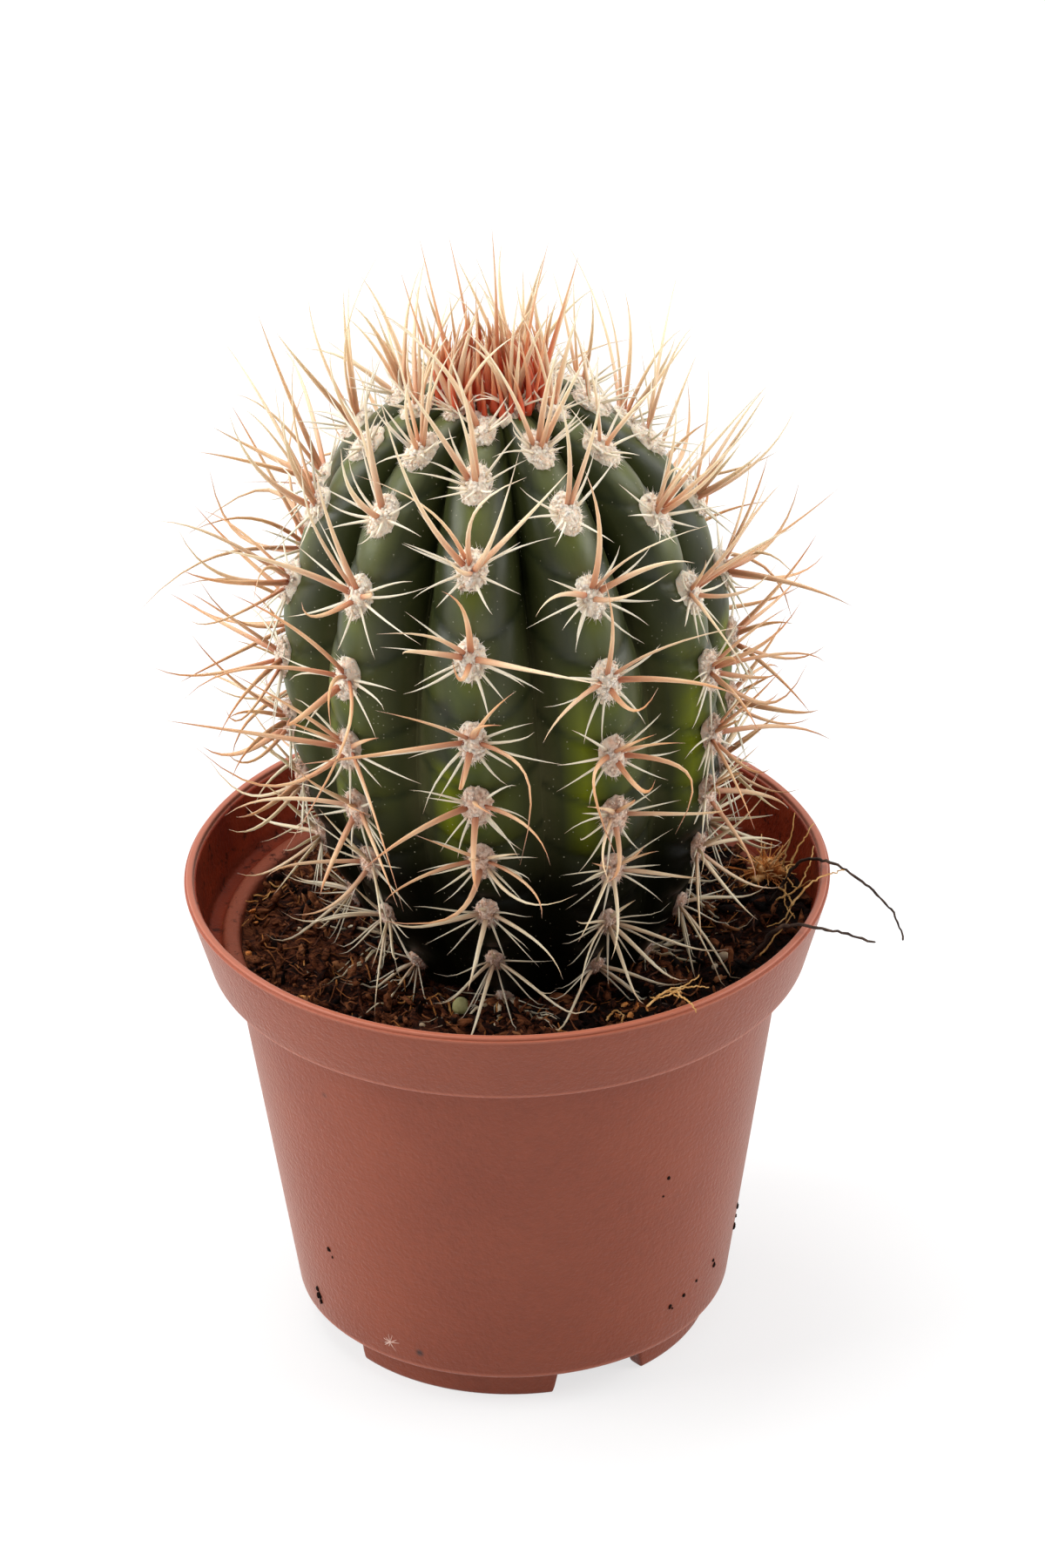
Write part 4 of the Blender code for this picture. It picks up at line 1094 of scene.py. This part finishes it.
def horny_spine(name, fresh, grown, worn):
    """Spine horn: hard, dry and smooth, with a dull shine, and thin enough for light to pass. Each ramp
    runs from base to tip, for spines near the crown, on the middle of the stem and at its foot."""
    material, add, shader = new_material(name)
    along, age, tint = (add("Attribute", out="Fac", attribute_name=mark) for mark in ("along", "age", "tint"))
    young, middle, old = (add("ValToRGB", (along,), stops=stops) for stops in (fresh, grown, worn))
    wavering = add("Math", (tint, 0.22, age), operation="MULTIPLY_ADD")
    first = add("MapRange", (wavering, 0.28, 0.52), **SOFT)
    second = add("MapRange", (wavering, 0.74, 0.92), **SOFT)
    colour = add("Mix", (first, young, middle), data_type="RGBA")
    colour = add("Mix", (second, colour, old), data_type="RGBA")
    shade = add("MapRange", (tint, 0.0, 1.0, 0.86, 1.08))
    streaks = add("TexNoise", (add("TexCoord", out="Object"), 700.0, 2.0))
    set_inputs(shader, {
        "Base Color": add("HueSaturation", {"Color": colour, "Value": shade}),
        "IOR": 1.50,
        "Roughness": 0.50,
        "Subsurface Weight": 0.60,
        "Subsurface Radius": (1.0, 0.9, 0.8),
        "Subsurface Scale": 0.0010,
        "Normal": add("Bump", {"Height": streaks, "Strength": 0.2, "Distance": 0.0002}),
    })
    return material


spine_rng = np.random.default_rng(37)
central_points, central_faces, central_marks = spine_set(
    CENTRALS, *CENTRAL_GRID, spine_rng, flatness=0.64, pull=0.8, claw=CLAW, fewer_on_top=0.45
)
central_horn = horny_spine("central_spine_horn", *CENTRAL_HORN)
central = mesh_piece("central_spines", central_points, central_faces, central_horn, **central_marks)
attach(central, "root")
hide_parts(*[f"spine_row_{i:02d}" for i in range(1, RIBS + 1)])

radial_points, radial_faces, radial_marks = spine_set(
    RADIALS, *RADIAL_GRID, spine_rng, flatness=0.9, pull=0.6, claw=0.0, fewer_on_top=0.10
)
radial_horn = horny_spine("radial_spine_horn", *RADIAL_HORN)
radial = mesh_piece("radial_spines", radial_points, radial_faces, radial_horn, **radial_marks)
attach(radial, "root")

# Crown -----------------------------------------------------
# The growing tip: a tuft of this season's spines, stout at the base, still soft and vermilion, crowded
# upright out of a bed of white wool, with eight that stand taller.
CROWN_LEVEL = 0.1940
CROWN_RADIUS = 0.0104
CROWN_SPINES = 92
CROWN_GRID = (8, 6)
CROWN_LENGTHS = (0.0085, 0.0160)
CROWN_TALL = (
    # root (x, y), lean (x, y) as a share of the rise, length
    (-0.0062, -0.0030, -0.20, 0.05, 0.0325), (0.0008, -0.0005, 0.03, 0.02, 0.0338),
    (0.0050, -0.0015, 0.10, 0.00, 0.0315), (-0.0030, 0.0050, -0.12, 0.20, 0.0270),
    (0.0085, 0.0040, 0.30, 0.15, 0.0270), (-0.0020, -0.0060, -0.06, -0.10, 0.0260),
    (0.0070, -0.0050, 0.20, -0.10, 0.0240), (-0.0090, 0.0020, -0.34, 0.06, 0.0260),
)
CROWN_SINK = 0.0005
CROWN_HEADING = (-0.04, -0.03, 1.0)
CROWN_LEAN = (0.02, 0.22)
CROWN_BEND = -0.30
CROWN_SCATTER = 0.06
CROWN_WIDTH = 0.00140
CROWN_TAPER = 0.9
CROWN_TALL_WIDTH = 0.00072
CROWN_TALL_TAPER = 1.4
CROWN_YOUNG = ((0.0, "#DE5634"), (0.34, "#D66440"), (0.60, "#D08A60"), (0.84, "#DAB28E"), (1.0, "#AC7050"))
CROWN_WOOL_LUMPS = 130
GOLDEN_ANGLE = 2.39996

crown_rng = np.random.default_rng(51)
spiral = np.arange(CROWN_SPINES)
crown_reach = CROWN_RADIUS * np.sqrt((spiral + 0.5) / CROWN_SPINES)
crown_way = outward(np.degrees(spiral * GOLDEN_ANGLE))
crown_roots = stem_axis(np.full(CROWN_SPINES, CROWN_LEVEL)) + crown_way * crown_reach[:, None]
crown_roots[:, 2] = crest_top(crown_reach) - CROWN_SINK
crown_lean = CROWN_LEAN[0] + CROWN_LEAN[1] * crown_reach / CROWN_RADIUS
crown_lean = crown_lean + CROWN_SCATTER * crown_rng.normal(size=CROWN_SPINES)
crown_heading = unit(np.array(CROWN_HEADING) + crown_way * crown_lean[:, None])
crown_length = crown_rng.uniform(*CROWN_LENGTHS, CROWN_SPINES)
crown_bend = CROWN_BEND * crown_way + CROWN_SCATTER * crown_rng.normal(size=(CROWN_SPINES, 3))
share = np.linspace(0, 1, CROWN_GRID[0])
crown_taper = CROWN_WIDTH * (TIP_BLUNTNESS - share**CROWN_TAPER)
crown_taper = crown_taper * crown_rng.uniform(0.75, 1.2, (CROWN_SPINES, 1))
crown_along = along_marks(CROWN_SPINES, *CROWN_GRID)
tall, tall_rows = slice(len(CROWN_TALL)), np.array(CROWN_TALL)
crown_roots[tall, :2] = crown_roots[0, :2] + tall_rows[:, :2]
crown_roots[tall, 2] = crest_top(np.hypot(*tall_rows[:, :2].T)) - CROWN_SINK
crown_heading[tall] = unit(np.column_stack([tall_rows[:, 2:4], np.ones(len(CROWN_TALL))]))
crown_length[tall] = tall_rows[:, 4]
crown_bend[tall] *= 0.2
crown_taper[tall] = CROWN_TALL_WIDTH * (TIP_BLUNTNESS - share**CROWN_TALL_TAPER)
crown_along[tall] **= 0.5
crown_paths = bent_lines(crown_roots, crown_heading, crown_bend, crown_length, CROWN_GRID[0])
crown_tubes = tubes(crown_paths, crown_taper, np.roll(crown_way, 1, 1) + 0.1, CROWN_GRID[1], 0.55)
crown = mesh_piece(
    "crown_spine_tuft", *crown_tubes, horny_spine("young_spine_horn", *[CROWN_YOUNG] * 3),
    along=crown_along, age=0.0, tint=crown_rng.uniform(0, 1, CROWN_SPINES),
)
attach(crown, "root")
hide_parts("crown_spines")

bed_turn = crown_rng.uniform(0.0, 360.0, CROWN_WOOL_LUMPS)
bed_reach = CROWN_RADIUS * np.sqrt(crown_rng.uniform(0.0, 1.0, CROWN_WOOL_LUMPS))
bed_centres = outward(bed_turn) * bed_reach[:, None] + stem_axis(STEM_TOP)
bed_centres[:, 2] = crest_top(bed_reach) - 0.0004
bed_axes = random_axes(CROWN_WOOL_LUMPS, crown_rng)
bed_radii = crown_rng.uniform(0.0007, 0.0016, (CROWN_WOOL_LUMPS, 3))
bed_lumps = lumps(bed_centres, bed_axes, bed_radii, rings=4, columns=8, roughness=0.10, rng=crown_rng)
bed = mesh_piece("crown_wool", *bed_lumps, wool_material, age=0.0)
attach(bed, "root")

# Debris ----------------------------------------------------
# Dead rootlets and coir from the potting mix: two dry rootlets over the rim on the right, and a matted
# clump of orange-brown coir on the heaped soil.
ROOTLETS = (
    # piece, the node it replaces, half width at the start and at the end, then the line
    ("dry_rootlet_long", "dead_rootlet_long", 0.00032, 0.00017, (
        (0.0488, 0.0010, 0.0838), (0.0535, 0.0012, 0.0918), (0.0568, 0.0002, 0.0940),
        (0.0606, -0.0020, 0.0940), (0.0650, -0.0042, 0.0922), (0.0690, -0.0060, 0.0890),
        (0.0718, -0.0075, 0.0858), (0.0733, -0.0090, 0.0815),
    )),
    ("dry_rootlet_short", "dead_rootlet_short", 0.00040, 0.00022, (
        (0.0440, -0.0200, 0.0840), (0.0485, -0.0222, 0.0915), (0.0520, -0.0238, 0.0942),
        (0.0558, -0.0250, 0.0944), (0.0612, -0.0260, 0.0936), (0.0668, -0.0268, 0.0918),
    )),
)
COIR_CENTRE = (0.0482, 0.0128)
COIR_RADII = (0.0046, 0.0040, 0.0030)
COIR_LUMPS = 42
COIR_FIBRES = 130
COIR_FIBRE_LENGTHS = (0.0014, 0.0032)
COIR_FIBRE_GIRTH = 0.00012


def dry_fibre(name, *stops):
    """Dry root and coir: matt, brittle plant fibre. Its colour is uneven along its length, and its own tint
    shifts it from fibre to fibre."""
    material, add, shader = new_material(name)
    uneven = add("TexNoise", (add("TexCoord", out="Object"), 380.0, 4.0, 0.7))
    tint = add("Attribute", out="Fac", attribute_name="tint")
    toned = add("Math", (tint, 0.5, uneven), operation="MULTIPLY_ADD")
    set_inputs(shader, {
        "Base Color": add("ValToRGB", (toned,), stops=stops),
        "Roughness": 0.75,
        "Specular IOR Level": 0.3,
        "Normal": add("Bump", {"Height": uneven, "Strength": 0.6, "Distance": 0.0004}),
    })
    return material


debris_rng = np.random.default_rng(67)
root_material = dry_fibre("dry_root_bark", (0.35, "#2A1D18"), (0.55, "#4A382E"), (0.75, "#806350"))
for name, node, thick, thin, line in ROOTLETS:
    path = smooth_line(line, 6)[None]
    path = path + 0.00012 * debris_rng.normal(size=path.shape)
    girth = np.linspace(thick, thin, path.shape[1])[None] * debris_rng.uniform(0.85, 1.2, (1, path.shape[1]))
    rootlet = mesh_piece(name, *tubes(path, girth, UP, 8), root_material, tint=0.0)
    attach(rootlet, "root")
    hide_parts(node)

coir_material = dry_fibre(
    "coir_fibre", (0.26, "#96481C"), (0.42, "#CC7634"), (0.60, "#E6A25C"), (0.8, "#F0CA94")
)
coir_middle = np.array([*COIR_CENTRE, soil_height(np.array(COIR_CENTRE)) + COIR_RADII[2] * 1.1])
coir_spread = unit(debris_rng.normal(size=(COIR_LUMPS, 3))) * debris_rng.uniform(0.2, 0.85, (COIR_LUMPS, 1))
coir_axes = random_axes(COIR_LUMPS, debris_rng)
coir_radii = debris_rng.uniform(0.0005, 0.0013, (COIR_LUMPS, 3))
coir_centres = coir_middle + coir_spread * np.array(COIR_RADII)
coir_lumps = lumps(coir_centres, coir_axes, coir_radii, rings=4, columns=8, roughness=0.2, rng=debris_rng)
coir = mesh_piece("coir_tuft", *coir_lumps, coir_material, tint=debris_rng.uniform(-0.2, 0.4, COIR_LUMPS))
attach(coir, "root")
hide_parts("coir_clump")

fuzz_way = unit(debris_rng.normal(size=(COIR_FIBRES, 3)) + (0.3, -0.2, 0.3))
fuzz_roots = coir_middle + 0.4 * fuzz_way * np.array(COIR_RADII)
fuzz_bend = 0.7 * debris_rng.normal(size=(COIR_FIBRES, 3))
fuzz_length = debris_rng.uniform(*COIR_FIBRE_LENGTHS, COIR_FIBRES)
fuzz_paths = bent_lines(fuzz_roots, fuzz_way, fuzz_bend, fuzz_length, 7)
fuzz_paths[..., 2] = np.maximum(fuzz_paths[..., 2], soil_height(fuzz_paths) + 0.0003)
fuzz_tubes = tubes(fuzz_paths, np.full((1, 7), COIR_FIBRE_GIRTH), (0.1, 0.2, 1.0), 4)
fuzz = mesh_piece("coir_fuzz", *fuzz_tubes, coir_material, tint=debris_rng.uniform(-0.1, 0.6, COIR_FIBRES))
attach(fuzz, "root")

# Soil fibres -----------------------------------------------
# Fine brown plant fibres that lie all over the soil, curled a little to one side or back.
FIBRE_COUNT = 420
FIBRES_START = 0.025
FIBRE_LENGTHS = (0.0025, 0.0100)
FIBRE_WIDTHS = (0.00008, 0.00022)
FIBRE_TAPER = (0.6, 1, 1, 1, 1, 1, 0.5)


def lying_fibres(starts, turns, lengths, curl, rng):
    """Fibres that lie on the soil: from each start, a level line in its direction that curls to one side
    and back by curl times its length, just above the soil, with its ends a little raised."""
    t = np.linspace(0.0, 1.0, len(FIBRE_TAPER))[None]
    ahead, aside = outward(turns), outward(turns + 90.0)
    swing = curl[:, None] * np.sin(np.pi * t * rng.uniform(0.6, 1.5, (len(starts), 1)))
    path = starts[:, None] + ahead[:, None] * (t * lengths[:, None])[..., None]
    path = path + aside[:, None] * (swing * lengths[:, None])[..., None]
    lift = 0.0004 + 0.0012 * rng.uniform(size=(len(starts), 1)) * (2 * t - 1) ** 2
    path[..., 2] = soil_height(path) + lift
    return path


fibre_turn = debris_rng.uniform(0.0, 360.0, FIBRE_COUNT)
fibre_radius = np.sqrt(debris_rng.uniform(FIBRES_START**2, (SOIL_EDGE - 0.001) ** 2, FIBRE_COUNT))
fibre_starts = outward(fibre_turn) * fibre_radius[:, None]
fibre_turn = fibre_turn + 90.0 + 45.0 * debris_rng.normal(size=FIBRE_COUNT)
fibre_length = debris_rng.uniform(*FIBRE_LENGTHS, FIBRE_COUNT) * debris_rng.uniform(0.4, 1.0, FIBRE_COUNT)
fibre_curl = debris_rng.uniform(-0.25, 0.25, FIBRE_COUNT)
fibre_paths = lying_fibres(fibre_starts, fibre_turn, fibre_length, fibre_curl, debris_rng)
fibre_girth = debris_rng.uniform(*FIBRE_WIDTHS, (FIBRE_COUNT, 1)) * np.array([FIBRE_TAPER])
fibres = mesh_piece(
    "soil_fibres", *tubes(fibre_paths, fibre_girth, UP, 4),
    dry_fibre("peat_fibre", (0.35, "#2A1208"), (0.60, "#6E3C1E"), (0.86, "#A8682E"), (1.0, "#CE9C5C")),
    tint=debris_rng.uniform(-0.2, 0.8, FIBRE_COUNT),
)
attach(fibres, "root")

# Strands ---------------------------------------------------
# Tan coir strands: a star at the front right rim, others up the inner wall on the right and over the rim.
STRANDS = (
    # x, y and z of each of its points in turn
    (0.0248, -0.0505, 0.0935, 0.0285, -0.0465, 0.0945, 0.0320, -0.0425, 0.0930, 0.0347, -0.0382, 0.0925),
    (0.0285, -0.0462, 0.0938, 0.0330, -0.0455, 0.0945, 0.0362, -0.0445, 0.0938),
    (0.0300, -0.0462, 0.0940, 0.0318, -0.0500, 0.0948, 0.0330, -0.0518, 0.0946, 0.0337, -0.0529, 0.0938),
    (0.0262, -0.0425, 0.0905, 0.0290, -0.0462, 0.0940, 0.0308, -0.0492, 0.0946),
    (0.0312, -0.0440, 0.0925, 0.0300, -0.0470, 0.0945, 0.0270, -0.0490, 0.0944, 0.0255, -0.0475, 0.0938),
    (0.0520, -0.0115, 0.0905, 0.0560, -0.0085, 0.0938, 0.0600, -0.0052, 0.0938, 0.0626, -0.0032, 0.0936),
    (0.0535, 0.0093, 0.0890, 0.0520, 0.0030, 0.0875, 0.0515, -0.0040, 0.0870, 0.0530, -0.0120, 0.0885),
    (0.0462, -0.0195, 0.0850, 0.0490, -0.0145, 0.0855, 0.0528, -0.0095, 0.0880),
    (0.0515, 0.0110, 0.0860, 0.0530, 0.0130, 0.0905, 0.0540, 0.0165, 0.0940),
    (0.0520, 0.0060, 0.0870, 0.0545, 0.0085, 0.0915, 0.0575, 0.0120, 0.0946),
    (0.0545, 0.0075, 0.0885, 0.0520, 0.0035, 0.0900, 0.0535, -0.0020, 0.0890, 0.0560, -0.0055, 0.0925),
    (0.0500, -0.0045, 0.0880, 0.0535, -0.0035, 0.0895, 0.0560, 0.0010, 0.0915, 0.0572, 0.0060, 0.0930),
    (0.0505, 0.0010, 0.0875, 0.0525, -0.0060, 0.0885, 0.0510, -0.0100, 0.0870, 0.0480, -0.0110, 0.0862),
    (0.0178, -0.0340, 0.0806, 0.0190, -0.0325, 0.0816, 0.0208, -0.0330, 0.0812, 0.0206, -0.0348, 0.0806),
)
STRAND_STEPS = 8
STRAND_WIDTHS = (0.00022, 0.00010)

strand_points, strand_faces, strand_count = [], [], 0
for line in STRANDS:
    path = smooth_line(np.reshape(line, (-1, 3)), STRAND_STEPS)[None]
    path = path + 0.00010 * debris_rng.normal(size=path.shape)
    points, faces = tubes(path, np.linspace(*STRAND_WIDTHS, path.shape[1])[None], (0.1, 0.0, 1.0), 6)
    strand_points.append(points[0])
    strand_faces += [block + strand_count for block in faces]
    strand_count += points.shape[1]
strands = mesh_piece(
    "coir_strands", np.concatenate(strand_points), strand_faces,
    dry_fibre("tan_coir_strand", (0.30, "#A06C38"), (0.50, "#C89858"), (0.75, "#E6C48E")), tint=0.0,
)
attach(strands, "root")

# Grit and bark ---------------------------------------------
# A green-grey granule in front of the stem, pale grains, and crumbs of rust-brown bark.
GRIT = (
    # place (x, y), radius, tint: below 0 green-grey, above 0 pale
    (-0.0090, -0.0268, 0.0016, -0.5), (0.0397, -0.0163, 0.0010, 0.5), (0.0380, -0.0190, 0.0006, 0.7),
    (-0.0160, -0.0338, 0.0005, 0.3), (0.0040, -0.0400, 0.0004, 0.5), (0.0230, -0.0385, 0.0005, 0.4),
    (-0.0370, -0.0120, 0.0004, 0.4), (0.0420, 0.0060, 0.0006, 0.4), (-0.0390, 0.0030, 0.0005, 0.3),
)
BARK_BITS = (
    (-0.0381, -0.0206, 0.0008, 0), (-0.0364, -0.0212, 0.0006, 0), (-0.0392, -0.0196, 0.0005, 0),
    (-0.0478, 0.0085, 0.0007, 0), (-0.0472, 0.0062, 0.0005, 0), (-0.0482, -0.0066, 0.0006, 0),
    (0.0200, -0.0318, 0.0009, 0), (0.0222, -0.0330, 0.0007, 0), (0.0236, -0.0300, 0.0008, 0),
    (0.0252, -0.0322, 0.0005, 0), (0.0212, -0.0290, 0.0006, 0),
)

grit_material = dry_fibre(
    "washed_grit", (0.0, "#8A8650"), (0.42, "#BCB884"), (0.62, "#B09878"), (1.0, "#D8C8B2")
)
for name, rows, flatness, roughness, bit_material in (
    ("grit_grains", GRIT, 0.85, 0.07, grit_material), ("bark_bits", BARK_BITS, 0.5, 0.35, coir_material),
):
    bit_place, bit_radius, bit_tint = np.split(np.array(rows), [2, 3], axis=1)
    bit_centres = np.column_stack([bit_place, soil_height(bit_place) + bit_radius[:, 0] * 0.6])
    bit_radii = bit_radius * (1.15, 1.0, flatness)
    bit_axes = random_axes(len(rows), debris_rng)
    bit_lumps = lumps(
        bit_centres, bit_axes, bit_radii, rings=7, columns=12, roughness=roughness, rng=debris_rng
    )
    bits = mesh_piece(name, *bit_lumps, bit_material, tint=bit_tint)
    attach(bits, "root")

# Dirt on the pot -------------------------------------------
# Crumbs of damp peat stuck to the lower body, and a pale scuff of fine scratches at its foot.
STUCK_PEAT = (
    # azimuth in degrees, height, radius
    (-62, 0.0118, 0.0008), (-62.5, 0.0132, 0.0006), (-61.5, 0.0105, 0.0006), (-52, 0.0270, 0.0005),
    (-51, 0.0255, 0.0003), (79, 0.0230, 0.0006), (80, 0.0180, 0.0007), (80.5, 0.0200, 0.0004),
    (63, 0.0170, 0.0005), (62, 0.0185, 0.0004), (54, 0.0172, 0.0004), (49, 0.0158, 0.0005),
    (44, 0.0150, 0.0005), (45, 0.0142, 0.0003), (38, 0.0480, 0.0004), (37, 0.0440, 0.0003),
)
STUCK_SHAPES = ((0.7, 0.8, 0.5), (1.0, 1.4, 0.7))
SCUFF_AZIMUTH = -34.5
SCUFF_HEIGHT = 0.0106
SCUFF_LINES = 13
SCUFF_WIDTHS = (0.00003, 0.00006, 0.00007, 0.00006, 0.00003)


def body_surface(azimuth, height):
    """Where the pot's tapered body is at each azimuth and height."""
    share = (np.asarray(height) - FOOT_HEIGHT) / (COLLAR_FOOT - FOOT_HEIGHT)
    place = outward(azimuth) * (BODY_FOOT_RADIUS + (BODY_TOP_RADIUS - BODY_FOOT_RADIUS) * share)[..., None]
    place[..., 2] = height
    return place


stuck_azimuth, stuck_height, stuck_radius = np.array(STUCK_PEAT).T
stuck_axes = np.stack(
    [outward(stuck_azimuth + 90.0), np.tile(UP, (len(STUCK_PEAT), 1)), outward(stuck_azimuth)], 1
)
stuck_radii = stuck_radius[:, None] * debris_rng.uniform(*STUCK_SHAPES, (len(STUCK_PEAT), 3))
stuck_centres = body_surface(stuck_azimuth, stuck_height)
stuck_lumps = lumps(
    stuck_centres, stuck_axes, stuck_radii, rings=6, columns=10, roughness=0.25, rng=debris_rng
)
stuck = mesh_piece("stuck_peat", *stuck_lumps, peat_material, tone=-0.08)
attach(stuck, "root")

scuff_turn = np.radians(debris_rng.uniform(0.0, 360.0, SCUFF_LINES))[:, None]
scuff_reach = debris_rng.uniform(0.0006, 0.0022, SCUFF_LINES)[:, None] * np.linspace(-0.2, 1.0, 5)
scuff_azimuth = SCUFF_AZIMUTH + np.degrees(scuff_reach * np.cos(scuff_turn) / BODY_FOOT_RADIUS)
scuff_paths = body_surface(scuff_azimuth, SCUFF_HEIGHT + scuff_reach * np.sin(scuff_turn))
scuff_tubes = tubes(scuff_paths, np.array([SCUFF_WIDTHS]), outward(SCUFF_AZIMUTH), 4)
scuff_material = dry_fibre("scuffed_plastic_burr", (0.3, "#D8B0A0"), (0.7, "#F0DCD0"))
scuff = mesh_piece("pale_scuff", *scuff_tubes, scuff_material, tint=0.0)
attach(scuff, "root")
